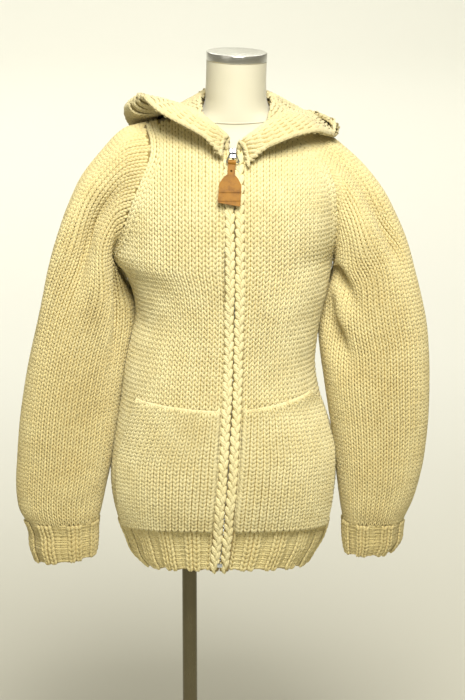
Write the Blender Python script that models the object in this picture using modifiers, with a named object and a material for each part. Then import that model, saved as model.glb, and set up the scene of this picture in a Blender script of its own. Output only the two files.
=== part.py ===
"""A hooded knitted cardigan, zipped up, on a limbless dress form with a steel pole and a round base.

+Z is up, the front faces -Y, and "right" is the wearer's right, at -X. The origin lies under the middle of
the base. Every size below is in millimetres. Each cloth piece is a wall: a grid of points on its outer
face, moved in by the thickness of the knit along normals that neighbours share at their seams.
"""

import math

import bmesh
import bpy
import numpy as np
from mathutils import Matrix, Vector

MM = 0.001
TURN_STEPS = 32
LEAST_NORMAL = 0.4
SHARP_FROM = math.radians(40)
BEVEL_FROM = math.radians(35)
WOOL_ROUGHNESS = 0.95
DOWN = np.array([0.0, 0.0, -1.0])
SPLIT_WAY = Vector((1.0, 0.37, 0.71))
RIGHT, LEFT = -1, 1
FRONT, BACK = -1, 1

# Knit and seams
WALL = 6.0
SEAM = 0.3
ON_PANEL = 0.9
FULLNESS = 2.2

# Landmarks of the body
ARMPIT = 1008.0
ZIP_TOP = 1180.0
ZIP_GAP = 3.0
NECK_X = 71.0
NECK_HALF = 55.0
NAPE_RISE = 10.0
RIDGE_HEIGHT, RIDGE_SLOPE, RIDGE_ROUNDING = 1247.6, 0.32, 20.0
NECK_SWELL, NECK_SWELL_REACH = 45.0, 38.0
NECKLINE_POWER = 1.5
SHOULDER_FROM = 1060.0
SHOULDER_POWER = 2.5
TIP_X = {RIGHT: -60.8, LEFT: 156.0}
HEM_TOP_SIDE, HEM_TOP_RISE = 600.0, 14.0
HEM_BOTTOM_SIDE, HEM_BOTTOM_RISE = 534.0, 13.0

# Grid counts
LOWER_ROWS = 9
UPPER_ROWS = 10
NECK_COLUMNS = 6
SHOULDER_COLUMNS = 5
RIB_POINTS = 6
RIB_PROFILE = (0.0, 0.0, 0.8, 1.0, 1.0, 0.8)
RIB_HEIGHT = 3.6
RIB_AT_SEAM = 0.35
RIB_PLAIN_BY_ZIP = 4
HEM_ROWS = 2
HEM_COLUMNS_PER_PANEL_COLUMN = 3
CUFF_RIBS = 8
CUFF_ROWS = 3
HOOD_STEPS = (1, 1, 2, 3, 2, 2, 3)


class Table:
    """Rows of sizes with named columns, read smoothly between rows along the first column."""

    def __init__(self, columns, rows):
        values = np.array(rows, float).T
        self.along = values[0]
        self.values = dict(zip(columns, values))

    def __call__(self, column, at):
        x, y = self.along, self.values[column]
        at = np.clip(at, x[0], x[-1])
        slope = np.gradient(y, x)
        i = np.clip(np.searchsorted(x, at) - 1, 0, len(x) - 2)
        h = x[i + 1] - x[i]
        s = (at - x[i]) / h
        start = (1 + 2 * s) * (1 - s) ** 2 * y[i] + s * (1 - s) ** 2 * h * slope[i]
        end = s * s * (3 - 2 * s) * y[i + 1] + s * s * (s - 1) * h * slope[i + 1]
        return start + end


# Half outline and depths of the body at each height. The part above the armpit runs on under the sleeves.
BODY = Table(
    ("z", "right", "left", "zip", "front", "back"),
    [
        (520, -60, 168, 44.5, 94, 90),
        (534, -71, 180, 45, 97, 93),
        (551, -86, 190, 46.5, 101, 97),
        (574, -95.5, 203, 49, 106, 101),
        (606, -108, 213, 52, 113, 107),
        (640, -115, 218, 54.5, 122, 114),
        (681, -116.5, 221, 58, 127, 118),
        (712, -113, 220, 60, 128, 118),
        (758, -106, 208, 62.5, 127, 115),
        (801, -99.5, 194, 65, 124, 110),
        (845, -94, 188, 66.5, 121, 106),
        (882, -86, 191, 67.5, 119, 103),
        (919, -78, 197, 68.2, 119, 102),
        (957, -82.5, 206, 69, 121, 104),
        (985, -94, 211, 69.4, 123, 107),
        (1008, -111.5, 215, 69.6, 124, 109),
        (1040, -116, 226, 69.6, 124, 110),
        (1068, -119, 234, 69.4, 123, 110),
        (1100, -121, 239, 68.8, 120, 110),
        (1140, -122, 240, 67.8, 111, 108),
        (1180, -122, 240, 66.5, 97, 104),
        (1245, -122, 240, 66, 82, 100),
    ],
)

# Armhole seams, front and back, from the armpit to the shoulder tip
ARMHOLE = Table(
    ("z", "front_right", "front_left", "back_right", "back_left"),
    [
        (1008, -111.5, 215, -111.5, 215),
        (1035, -105, 217, -107, 217.5),
        (1061, -93, 218.5, -99, 217),
        (1094, -82, 217.5, -89, 211),
        (1122, -71.5, 214.5, -81, 204),
        (1150, -60, 204.5, -73, 193),
        (1165, -54.5, 194, -68, 186),
        (1188, -54.5, 171, -62, 174),
        (1205, -60.8, 159, -60.8, 165),
        (1219.7, -60.8, 156, -60.8, 156),
    ],
)

# Sleeves: where each ring's outer and inner edge lie, and how far it swells to the front and to the back
SLEEVE_COLUMNS = ("ring", "outer_x", "outer_z", "inner_x", "inner_z", "front", "back")
SLEEVE = {
    RIGHT: Table(
        SLEEVE_COLUMNS,
        [
            (0, -60.8, 1204.9, -111.5, 1008, 62, 60),
            (1, -96, 1193, -115, 997, 63, 60),
            (2, -129, 1159, -109, 987, 65, 61),
            (3, -156, 1124, -101, 977, 67, 62),
            (4, -176, 1082, -94, 965, 68, 63),
            (5, -193, 1035, -88, 948, 67, 63),
            (6, -207, 988, -84, 928, 66, 62),
            (7, -218, 940, -85.5, 902, 64, 61),
            (8, -228, 894, -92, 868, 62, 60),
            (9, -238, 848, -98.5, 832, 61, 59),
            (10, -246.5, 801, -105, 788, 60, 58),
            (11, -254, 751, -111, 739, 59, 57),
            (12, -259, 695, -118.5, 692, 57, 55),
            (13, -262, 652, -127, 651, 55, 53),
            (14, -259, 617, -134, 617, 51, 49),
            (15, -250, 597, -139, 597, 46, 44),
            (16, -242, 577, -142, 580, 41, 39),
            (17, -240, 552, -143, 559, 40, 38),
            (18, -233, 530, -145, 541, 36, 35),
        ],
    ),
    LEFT: Table(
        SLEEVE_COLUMNS,
        [
            (0, 156, 1219.7, 215, 1008, 58, 58),
            (1, 190, 1199, 222, 1001, 60, 59),
            (2, 223, 1174, 219.5, 992, 63, 61),
            (3, 258, 1142, 216.5, 984, 66, 62),
            (4, 288, 1104, 214.5, 972, 68, 63),
            (5, 309, 1064, 211.5, 958, 68, 63),
            (6, 326, 1024, 208, 941, 67, 63),
            (7, 338, 982, 204, 919, 65, 62),
            (8, 348, 940, 201.5, 893, 64, 61),
            (9, 356, 896, 202, 860, 62, 60),
            (10, 360, 844, 206, 820, 61, 59),
            (11, 361, 794, 211.5, 777, 60, 58),
            (12, 359.5, 740, 218, 730, 59, 57),
            (13, 353, 682, 224.5, 672, 57, 55),
            (14, 341, 633, 230, 628, 52, 50),
            (15, 326, 597, 235, 597, 45, 43),
            (16, 323, 579, 236, 579, 41, 39),
            (17, 320, 563, 237.5, 560, 39, 38),
            (18, 309, 547, 240, 544, 34, 33),
        ],
    ),
}
CUFF_FROM = 15
CUFF_TO = 18
CUFF_SEAM_RINGS = 0.04
CAP_BLEND_RINGS = 5.0
# Soft folds pressed into the sleeves: ring and turn of the middle, reach along and round, depth, and how far
# the fold slants, in rings for each degree of turn
FOLD_COLUMNS = ("ring", "turn", "along", "round", "depth", "slant")
SLEEVE_FOLDS = {
    RIGHT: [
        (6.5, 28, 3.5, 24, 9, 0.0),
        (4.5, -35, 2.2, 30, 7, 0.04),
        (11, 62, 1.6, 34, 4, 0.02),
        (13, 120, 1.2, 40, 4, 0.01),
    ],
    LEFT: [
        (4.6, 34, 1.5, 38, 10, 0.045),
        (4.5, -35, 2.2, 30, 7, 0.04),
        (8.5, 26, 1.6, 30, 5, 0.03),
        (12.5, 118, 1.3, 40, 4, 0.01),
    ],
}

# Hood worn down: at each turn round the neck from the front, six points of its path after it has stood up
# from the neckline, each as a distance from the neck's axis and a height over the neck point
HOOD_UP_FROM = 1230.0
HOOD_PARTS = ("over", "lie", "low", "round", "back", "rim")
HOOD_COLUMNS = ["turn"] + [part + way for part in HOOD_PARTS for way in ("_out", "_up")]
HOOD_STAND = (1.0, 4.0)
HOOD_FROM_ZIP = 3.5
HOOD_LIFT = 0.6
HOOD_CLEAR = 6.0
HOOD_CLEAR_ROWS = 2
HOOD_SPLIT = (60.0, 130.0)
HOOD_SPLIT_STEP = 6.0
HOOD_NORMAL_PASSES = 5
HOOD_SPREAD = 9.0
HOOD_SPREAD_OVER = 14.0
HOOD = {
    RIGHT: Table(
        HOOD_COLUMNS,
        [
            (9, 86, -39, 88.5, -39, 91, -42, 93, -48, 96, -55, 99.5, -65),
            (24, 80, -22, 83.5, -20, 88, -20, 93, -22, 99, -27, 106, -33),
            (33, 76, -16, 80.5, -13, 87, -12, 94, -14, 101, -18, 110, -23),
            (45, 73, -9, 79, -6, 87, -4, 96, -4, 106, -7, 118, -12),
            (60, 73, -3, 82, 1, 93, 4, 105, 5, 118, 5, 133, 4),
            (75, 77, -3, 92, 0, 107, 5, 121, 11, 132, 15, 141, 17),
            (85, 79, -4, 100, -7, 120, -8, 140, -4, 150, 6, 143, 19),
            (95, 80, -4, 106, -13, 134, -21, 157, -18, 163, -4, 138, 16),
            (110, 81, -5, 113, -20, 143, -44, 164, -44, 168, -18, 124, 3),
            (131, 80, -9, 107, -38, 138, -104, 157, -112, 165, -64, 108, -12),
            (150, 80, -2, 107, -50, 127, -160, 148, -166, 156, -85, 96, 11),
            (180, 80, 0, 108, -58, 118, -196, 140, -197, 149, -90, 93, 20),
        ],
    ),
    LEFT: Table(
        HOOD_COLUMNS,
        [
            (9, 86, -42, 88, -43, 90, -47, 92, -53, 95, -60, 98.5, -69),
            (24, 80, -28, 84, -27, 89, -29, 94, -34, 99, -40, 105, -47),
            (33, 77, -22, 82, -20, 88, -22, 95, -26, 103, -32, 112, -39),
            (45, 74, -14, 81, -13, 89, -14, 99, -18, 110, -24, 121, -31),
            (60, 75, -8, 85, -8, 96, -10, 108, -14, 121, -20, 134, -28),
            (75, 79, -8, 92, -11, 106, -16, 119, -23, 131, -31, 142, -38),
            (84, 80, -7, 98, -14, 115, -24, 131, -33, 142, -39, 147, -38),
            (90, 80, -6, 100, -16, 119, -28, 138, -41, 147, -40, 148, -31),
            (96, 80, -6, 103, -18, 123, -32, 142, -46, 151, -39, 144, -24),
            (110, 81, -5, 111, -25, 134, -47, 150, -54, 155, -38, 122, -15),
            (133, 79, -12, 106, -44, 138, -106, 156, -113, 161, -68, 103, -17),
            (150, 80, -2, 107, -50, 127, -160, 148, -166, 156, -85, 96, 8),
            (180, 80, 0, 108, -58, 118, -196, 140, -197, 149, -90, 93, 20),
        ],
    ),
}

# Patch pockets: the outer edge at each height, and the height of the top edge from the zip outwards
POCKET_EDGE = Table(
    ("z", "right", "left"),
    [
        (590, -93, 200),
        (640, -100, 208),
        (690, -101, 211),
        (722, -97, 211),
        (752, -87, 203),
        (778, -79.5, 195.5),
        (797, -74, 188),
        (812, -70, 177),
    ],
)
POCKET_TOP = {RIGHT: (800.0, 806.0), LEFT: (801.0, 812.0)}
POCKET_FROM_ZIP = 18.0
POCKET_FIRST_GUESS = 700.0
POCKET_COLUMNS = 9
POCKET_ROWS = 7
POCKET_BOTTOM_OVER_HEM = 2.0
POCKET_CLEAR = {RIGHT: 1.5, LEFT: 2.0}

# Plaited bands beside the zip
BAND_WIDTH = 13.4
BAND_FROM_ZIP = 0.7
BAND_HEIGHT = 3.2
BAND_CROWN = 2.2
BAND_EDGE_SHARE = 0.55
BAND_PITCH = 20.0
BAND_ROWS_PER_PITCH = 2
BAND_TOP = 1163.0
BAND_BOTTOM = 546.0

# Zip
ZIP_WIDTH = 4.6
ZIP_THICK = 2.2
ZIP_SINK = 3.2
ZIP_ROWS = 30
STOP_SIZE = (8.0, 2.0, 6.0)
STOP_UP = 12.0
STOP_UP_CROWN = 0.22
SLIDER_SIZE = (10.0, 4.6, 15.0)
SLIDER_Z = 1174.5
SLIDER_CLEAR = 1.0
BAIL_HALF = 5.6
BAIL_WIRE = 1.2
BAIL_SINK = 0.6
BAIL_STEPS = 12
LINK_WIRE = 1.0
LINK_OFF_SLIDER = 2.5
LINK_TOP_HALF = 3.6
LINK_BOTTOM_HALF = 9.6
LINK_LENGTH = 15.0
LINK_CORNER = 2.2
LINK_HANG = math.radians(36.0)

# Leather tag on the link
TAG_HANG = math.radians(22.5)
TAG_ASKEW = math.radians(4.0)
TAG_ALONG_LINK = -1.2
TAG_THICK = 2.6
TAG_ROLL_RADIUS = 3.6
TAG_ROLL_HOLE = 1.8
TAG_ROLL_HALF = 5.8
TAG_EYE_RADIUS = 1.7
TAG_EYE_DOWN = 13.0
TAG_ROUND_STEPS = 20
TAG_OUTLINE = (
    (5.4, -2.6),
    (5.2, -18.0),
    (8.6, -21.0),
    (12.6, -26.5),
    (16.0, -33.0),
    (16.6, -62.0),
    (15.2, -63.5),
    (-15.2, -60.0),
    (-16.4, -58.5),
    (-15.8, -32.0),
    (-12.4, -25.5),
    (-8.4, -20.5),
    (-5.2, -18.0),
    (-5.4, -2.6),
)

# Dress form: rings from the bottom of the torso to the top of the neck
FORM = Table(
    ("z", "x", "half", "front", "back"),
    [
        (622, 30, 128, 88, 88),
        (640, 34, 136, 96, 96),
        (690, 44, 144, 104, 102),
        (740, 50, 140, 102, 98),
        (800, 53, 124, 92, 88),
        (860, 55, 112, 86, 80),
        (920, 58, 108, 84, 78),
        (980, 59, 118, 94, 84),
        (1040, 60, 136, 108, 92),
        (1090, 61, 146, 108, 94),
        (1130, 63, 144, 96, 90),
        (1160, 66, 137, 83, 82),
        (1183, 67, 122, 67, 70),
        (1198, 69, 102, 55, 59),
        (1208, 70.5, 83, 50, 52),
        (1215, 71, 67, 49.5, 48.5),
        (1223, 71, 53, 49, 45),
        (1236, 71, 46, 48, 42.5),
        (1255, 71, 44.5, 47, 41.5),
        (1298, 72, 44, 46.5, 41.5),
    ],
)
FORM_COLUMNS = 28
FORM_TOP = 1297.0
CAP_THICK = 12.5
CAP_RADIUS = 44.3
CAP_LEAN = math.radians(2.0)
CAP_Y = -2.5

POLE_RADIUS = 11.3
BASE_RADIUS = 170.0
BASE_THICK = 14.0
BASE_EDGE = 4.0
COLLAR_RADIUS = 21.0
COLLAR_TOP = 46.0
PARTS_APART = 0.3


def ridge_height(x):
    """Height of the shoulder line, carried on over the neck so that the body's faces stay smooth below it."""
    off = np.abs(x - NECK_X)
    swell = NECK_SWELL * np.exp(-((off / NECK_SWELL_REACH) ** 2))
    return RIDGE_HEIGHT - RIDGE_SLOPE * np.sqrt(off**2 + RIDGE_ROUNDING**2) + swell


def body_depth(x, z, way):
    """Distance of the body's outer face from the side seams' plane."""
    low, high = BODY("right", z), BODY("left", z)
    across = np.clip(np.abs(x - (low + high) / 2) / ((high - low) / 2), 0, 1)
    rounded = (1 - across**FULLNESS) ** (1 / FULLNESS)
    rise = np.clip((z - SHOULDER_FROM) / (ridge_height(x) - SHOULDER_FROM), 0, 1)
    closing = np.sqrt(1 - rise**SHOULDER_POWER)
    return BODY("front" if way == FRONT else "back", z) * rounded * closing


def body_point(x, z, way):
    return np.array([x, way * body_depth(x, z, way), z])


def across_at(x, z):
    low, high = BODY("right", z), BODY("left", z)
    return (x - (low + high) / 2) / ((high - low) / 2)


def x_at(across, z):
    low, high = BODY("right", z), BODY("left", z)
    return (low + high) / 2 + across * (high - low) / 2


def hem_top(across):
    return HEM_TOP_SIDE + HEM_TOP_RISE * (1 - across**2)


def hem_bottom(across):
    return HEM_BOTTOM_SIDE + HEM_BOTTOM_RISE * (1 - across**2)


def upper_steps():
    """Row fractions over the armpit, a little closer near the armpit and the shoulder."""
    even = np.linspace(0, 1, UPPER_ROWS + 1)
    return (even + (1 - np.cos(np.pi * even)) / 2) / 2


def front_across(side, u, z):
    """Across-position at fraction u of the way from the zip to the side seam, evenly spaced by angle."""
    start = math.asin(across_at(BODY("zip", z) + side * ZIP_GAP, z))
    return math.sin(start + (side * math.pi / 2 - start) * u)


def back_across(u):
    return math.sin(math.pi / 2 * u)


def lower_point(across_of, way, f):
    """A point of a panel under the armpit; f runs from the hem rib, below 0, to the armpit at 1."""
    z = HEM_TOP_SIDE
    for _ in range(4):
        across = across_of(z)
        z = hem_top(across) + f * (ARMPIT - hem_top(across))
    return body_point(x_at(across_of(z), z), z, way)


def coons(bottom, top, start, end, w, u):
    """Point between four edges, each an (x, z) pair at its own fraction."""
    corners = (1 - u) * (1 - w) * start(0) + u * (1 - w) * end(0) + (1 - u) * w * start(1) + u * w * end(1)
    return (1 - w) * bottom(u) + w * top(u) + (1 - u) * start(w) + u * end(w) - corners


def neck_arc(from_x, side, s):
    """Front neckline: a quarter of an oval from the zip's top to the shoulder's neck point."""
    neck_x = NECK_X + side * NECK_HALF
    turn = (1 - (1 - s) ** NECKLINE_POWER) * math.pi / 2
    neck_z = ridge_height(neck_x)
    x = from_x + (neck_x - from_x) * math.sin(turn)
    return np.array([x, neck_z - (neck_z - ZIP_TOP) * math.cos(turn)])


def shoulder(side, s):
    """Shoulder seam, from the neck point to the tip."""
    x = NECK_X + side * NECK_HALF + s * (TIP_X[side] - NECK_X - side * NECK_HALF)
    return np.array([x, ridge_height(x)])


def armhole(side, way, w):
    name = ("front_" if way == FRONT else "back_") + ("right" if side == RIGHT else "left")
    z = ARMPIT + w * (ridge_height(TIP_X[side]) - ARMPIT)
    return np.array([ARMHOLE(name, z), z])


def front_grid(side):
    """Rows from one below the hem rib, kept only for its normals, to the neckline and the shoulder."""
    columns = NECK_COLUMNS + SHOULDER_COLUMNS
    rows = []
    for j in range(-1, LOWER_ROWS):
        row = []
        for i in range(columns + 1):
            row.append(lower_point(lambda z, u=i / columns: front_across(side, u, z), FRONT, j / LOWER_ROWS))
        rows.append(row)

    def bottom(u):
        return np.array([x_at(front_across(side, u, ARMPIT), ARMPIT), ARMPIT])

    def top(u):
        i = u * columns
        if i <= NECK_COLUMNS:
            return neck_arc(BODY("zip", ZIP_TOP) + side * ZIP_GAP, side, i / NECK_COLUMNS)
        return shoulder(side, (i - NECK_COLUMNS) / SHOULDER_COLUMNS)

    def zip_edge(w):
        z = ARMPIT + w * (ZIP_TOP - ARMPIT)
        return np.array([BODY("zip", z) + side * ZIP_GAP, z])

    for w in upper_steps():
        row = []
        for i in range(columns + 1):
            u = i / columns
            x, z = coons(bottom, top, zip_edge, lambda s: armhole(side, FRONT, s), w, u)
            row.append(body_point(x, z, FRONT))
        rows.append(row)
    return np.array(rows)


def back_grid():
    columns = 2 * (NECK_COLUMNS + SHOULDER_COLUMNS)
    rows = []
    for j in range(-1, LOWER_ROWS):
        row = []
        for i in range(columns + 1):
            row.append(lower_point(lambda z, u=2 * i / columns - 1: back_across(u), BACK, j / LOWER_ROWS))
        rows.append(row)

    def bottom(u):
        return np.array([x_at(back_across(2 * u - 1), ARMPIT), ARMPIT])

    def top(u):
        i = u * columns
        if i <= SHOULDER_COLUMNS:
            return shoulder(RIGHT, 1 - i / SHOULDER_COLUMNS)
        if i >= columns - SHOULDER_COLUMNS:
            return shoulder(LEFT, 1 - (columns - i) / SHOULDER_COLUMNS)
        off = -math.cos((i - SHOULDER_COLUMNS) / (2 * NECK_COLUMNS) * math.pi)
        neck_z = ridge_height(NECK_X + NECK_HALF)
        return np.array([NECK_X + NECK_HALF * off, neck_z + NAPE_RISE * (1 - off**2)])

    def right_edge(w):
        return armhole(RIGHT, BACK, w)

    def left_edge(w):
        return armhole(LEFT, BACK, w)

    for w in upper_steps():
        row = []
        for i in range(columns + 1):
            x, z = coons(bottom, top, right_edge, left_edge, w, i / columns)
            row.append(body_point(x, z, BACK))
        rows.append(row)
    return np.array(rows)


def hem_grid(across_of, way, columns):
    """Rows from the lower edge to one above the panel's edge, which is kept only for its normals."""
    rows = []
    for j in range(HEM_ROWS + 2):
        row = []
        for i in range(columns + 1):
            u = i / columns
            z = HEM_BOTTOM_SIDE
            for _ in range(4):
                across = across_of(u, z)
                z = hem_bottom(across) + j / HEM_ROWS * (hem_top(across) - SEAM - hem_bottom(across))
            row.append(body_point(x_at(across_of(u, z), z), z, way))
        rows.append(row)
    return np.array(rows)


def fold_depth(side, ring, turn):
    """How far the sleeve is pressed in by its folds."""
    degrees = (math.degrees(turn) + 180) % 360 - 180
    depth = 0.0
    for fold in SLEEVE_FOLDS[side]:
        at = dict(zip(FOLD_COLUMNS, fold))
        off = (degrees - at["turn"] + 180) % 360 - 180
        middle = at["ring"] + at["slant"] * off
        depth += at["depth"] * math.exp(-(((ring - middle) / at["along"]) ** 2) - (off / at["round"]) ** 2)
    return depth


def sleeve_section(side, ring, turn):
    """A point of a sleeve ring; turn runs from the inner edge at 0 over the front to the outer edge at pi."""
    table = SLEEVE[side]
    outer = np.array([table("outer_x", ring), 0, table("outer_z", ring)])
    inner = np.array([table("inner_x", ring), 0, table("inner_z", ring)])
    along, swell = math.cos(turn), math.sin(turn)
    depth = -table("front", ring) if swell > 0 else table("back", ring)
    along = math.copysign(abs(along) ** (2 / FULLNESS), along)
    swell = abs(swell) ** (2 / FULLNESS)
    arm = (inner - outer) / 2 * along + np.array([0, depth * swell, 0])
    pressed = 1 - fold_depth(side, ring, turn) / np.linalg.norm(arm)
    return (outer + inner) / 2 + arm * pressed


def sleeve_turns():
    front = np.arccos(1 - 2 * upper_steps())
    return np.concatenate([front[:-1], 2 * math.pi - front[:0:-1]])


def armhole_loop(side):
    """The armhole seam's points: up the front from the armpit, and down the back."""
    points = [body_point(*armhole(side, FRONT, w), FRONT) for w in upper_steps()]
    back = [body_point(*armhole(side, BACK, w), BACK) for w in upper_steps()]
    return np.array(points[:-1] + back[:0:-1])


def sleeve_grid(side):
    """Rings from the armhole to one past the cuff's edge, which is kept only for its normals."""
    loop, turns = armhole_loop(side), sleeve_turns()
    rows = [loop]
    cap = loop - np.array([sleeve_section(side, 0, turn) for turn in turns])
    for ring in range(1, CUFF_FROM + 2):
        fade = max(0.0, 1 - ring / CAP_BLEND_RINGS) ** 2
        rows.append(np.array([sleeve_section(side, ring, turn) for turn in turns]) + cap * fade)
    return np.array(rows)


def cuff_grid(side):
    """Rings from one above the cuff, which is kept only for its normals, to its lower edge."""
    columns = CUFF_RIBS * RIB_POINTS
    rows = []
    for j in range(-1, CUFF_ROWS + 1):
        start = CUFF_FROM + CUFF_SEAM_RINGS
        ring = start + (CUFF_TO - start) * j / CUFF_ROWS
        rows.append([sleeve_section(side, ring, 2 * math.pi * i / columns) for i in range(columns)])
    return np.array(rows)


def spline(points, steps):
    """A smooth curve through the points, with the given number of steps in each section."""
    points = np.array(points)
    gaps = np.linalg.norm(np.diff(points, axis=0), axis=1) ** 0.5
    knots = np.concatenate([[0], np.cumsum(gaps)])
    path = Table(("t", "r", "z"), np.column_stack([knots, points]))
    at = [knots[0]]
    for start, end, count in zip(knots[:-1], knots[1:], steps):
        at.extend(np.linspace(start, end, count + 1)[1:])
    return np.column_stack([path("r", at), path("z", at)])


def round_neck(point):
    """The turn round the neck, in degrees: 0 at the front, 180 at the nape."""
    return math.degrees(math.atan2(abs(point[0] - NECK_X), -point[1]))


def split_neckline(neckline):
    """The neckline's points, with more between them over the shoulders, where the hood bends most."""
    points = [neckline[0]]
    for point in neckline[1:]:
        before = points[-1]
        count = 1
        if HOOD_SPLIT[0] < round_neck((before + point) / 2) < HOOD_SPLIT[1]:
            count = math.ceil(abs(round_neck(before) - round_neck(point)) / HOOD_SPLIT_STEP)
        for step in range(1, count + 1):
            points.append(before + (point - before) * step / count)
    return points


def hood_grid(neckline):
    """Columns start on the neckline and follow the hood's path at their own turn round the neck.

    Beside the zip the columns spread away from it, so that the two front edges make a V.
    """
    columns = []
    for point in split_neckline(neckline):
        off = point[:2] - np.array([NECK_X, 0.0])
        side = RIGHT if off[0] < 0 else LEFT
        start = round_neck(point)
        turn = start + HOOD_SPREAD * math.exp(-start / HOOD_SPREAD_OVER)
        out, up = HOOD_STAND
        path = [(np.linalg.norm(off), point[2]), (np.linalg.norm(off) + out, point[2] + up)]
        for part in HOOD_PARTS:
            path.append((HOOD[side](part + "_out", turn), HOOD_UP_FROM + HOOD[side](part + "_up", turn)))
        column = []
        for j, (out, z) in enumerate(spline(path, HOOD_STEPS)):
            swing = math.radians(start + (turn - start) * math.sin(math.pi / 2 * j / sum(HOOD_STEPS)))
            x, y = NECK_X + side * out * math.sin(swing), -out * math.cos(swing)
            way = FRONT if y < 0 else BACK
            rest = body_depth(x, z, way) + HOOD_CLEAR * min(1.0, j / HOOD_CLEAR_ROWS)
            column.append((x, way * max(abs(y), rest) if j else y, z))
        columns.append(column)
    return np.array(columns).transpose(1, 0, 2)


def grid_normals(grid, around, outward):
    """Unit normals of a grid of points; outward is 1 or -1, for the way the cross product has to turn."""
    if around:
        along = np.roll(grid, -1, axis=1) - np.roll(grid, 1, axis=1)
    else:
        along = np.gradient(grid, axis=1)
    normals = outward * np.cross(along, np.gradient(grid, axis=0))
    return normals / np.maximum(np.linalg.norm(normals, axis=2, keepdims=True), 1e-9)


def evened(normals):
    """Each normal averaged with the four round it, so that a sharp bend's inside doesn't cross itself."""
    padded = np.pad(normals, ((1, 1), (1, 1), (0, 0)), mode="edge")
    around = padded[:-2, 1:-1] + padded[2:, 1:-1] + padded[1:-1, :-2] + padded[1:-1, 2:]
    total = normals + around / 2
    return total / np.linalg.norm(total, axis=2, keepdims=True)


def share_normals(pieces):
    """Points that several pieces hold in common get one normal, so that their walls meet edge to edge.

    Where three pieces meet, the last one, a sleeve or the hood, counts as much as the other two.
    """
    found = {}
    for grid, normals in pieces:
        for point, normal in zip(grid.reshape(-1, 3), normals.reshape(-1, 3).copy()):
            found.setdefault(tuple(np.round(point, 2)), []).append(normal)
    for grid, normals in pieces:
        flat = normals.reshape(-1, 3)
        for i, point in enumerate(grid.reshape(-1, 3)):
            meeting = found[tuple(np.round(point, 2))]
            total = sum(meeting) + (meeting[-1] if len(meeting) == 3 else 0)
            size = np.linalg.norm(total)
            flat[i] = total / size if size > LEAST_NORMAL else DOWN


def drawn_in(grid, around):
    """The grid with its open edges drawn in by half a seam."""
    grid = grid.copy()
    pairs = [((0,), (1,)), ((-1,), (-2,))]
    if not around:
        pairs += [((slice(None), 0), (slice(None), 1)), ((slice(None), -1), (slice(None), -2))]
    for edge, beside in pairs:
        step = grid[beside] - grid[edge]
        grid[edge] += SEAM / 2 * step / np.linalg.norm(step, axis=-1, keepdims=True)
    return grid


def make_material(name, color, roughness, metallic=0.0):
    material = bpy.data.materials.new(name)
    material.use_nodes = True
    shader = material.node_tree.nodes["Principled BSDF"]
    shader.inputs["Base Color"].default_value = (*color, 1.0)
    shader.inputs["Roughness"].default_value = roughness
    shader.inputs["Metallic"].default_value = metallic
    return material


def add_object(name, mesh, material, location=(0, 0, 0)):
    mesh.materials.append(material)
    piece = bpy.data.objects.new(name, mesh)
    piece.location = location
    parts.objects.link(piece)
    return piece


def wall(name, outer, inner, around, material):
    """A closed wall between two grids: both faces and a strip along each open edge."""
    rows, columns = outer.shape[:2]
    mesh_builder = bmesh.new()
    layers = []
    for grid in (outer, inner):
        layers.append([[mesh_builder.verts.new(point * MM) for point in row] for row in grid])
    out, within = layers
    spans = columns if around else columns - 1
    for j in range(rows - 1):
        for i in range(spans):
            n = (i + 1) % columns
            mesh_builder.faces.new((out[j][i], out[j][n], out[j + 1][n], out[j + 1][i]))
            mesh_builder.faces.new((within[j + 1][i], within[j + 1][n], within[j][n], within[j][i]))
    for j in (0, rows - 1):
        for i in range(spans):
            n = (i + 1) % columns
            edge_strip(mesh_builder, out[j][i], out[j][n], within[j][i], within[j][n])
    if not around:
        for i in (0, columns - 1):
            for j in range(rows - 1):
                edge_strip(mesh_builder, out[j][i], out[j + 1][i], within[j][i], within[j + 1][i])
    turn_faces_out(mesh_builder)
    mesh = bpy.data.meshes.new(name)
    mesh_builder.to_mesh(mesh)
    mesh_builder.free()
    mesh.shade_smooth()
    return add_object(name, mesh, material)


def edge_strip(mesh_builder, out, out_next, within, within_next):
    """Two triangles across a wall's edge, split the same way on both sides of a seam."""
    if SPLIT_WAY.dot(out.co) > SPLIT_WAY.dot(out_next.co):
        out, out_next, within, within_next = out_next, out, within_next, within
    mesh_builder.faces.new((out, out_next, within_next))
    mesh_builder.faces.new((out, within_next, within))


def turn_faces_out(mesh_builder):
    bmesh.ops.recalc_face_normals(mesh_builder, faces=mesh_builder.faces)
    if mesh_builder.calc_volume(signed=True) < 0:
        bmesh.ops.reverse_faces(mesh_builder, faces=mesh_builder.faces)


def cloth_wall(name, grid, normals, around, material):
    inner = grid - normals * WALL
    return wall(name, drawn_in(grid, around), drawn_in(inner, around), around, material)


def ribbed_wall(name, grid, normals, around, material, from_side, plain, seam_row):
    """A rib: a plain inside, and an outer face raised in twos, lower at its seam and plain beside the zip."""
    columns = grid.shape[1]
    profile = [RIB_PROFILE[i % RIB_POINTS] * RIB_HEIGHT for i in range(columns)]
    raised = np.array(profile[::-1] if from_side else profile)
    raised[:plain] = 0
    lift = np.tile(raised, (grid.shape[0], 1))
    lift[seam_row] *= RIB_AT_SEAM
    outer = grid + normals * lift[:, :, None]
    inner = grid - normals * WALL
    return wall(name, drawn_in(outer, around), drawn_in(inner, around), around, material)


def panel_frame(x, z):
    """A point of the front's outer face and its outward normal there."""
    step = 1.0
    point = body_point(x, z, FRONT)
    across = body_point(x + step, z, FRONT) - body_point(x - step, z, FRONT)
    up = body_point(x, z + step, FRONT) - body_point(x, z - step, FRONT)
    normal = np.cross(across, up)
    return point, normal / np.linalg.norm(normal)


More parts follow.
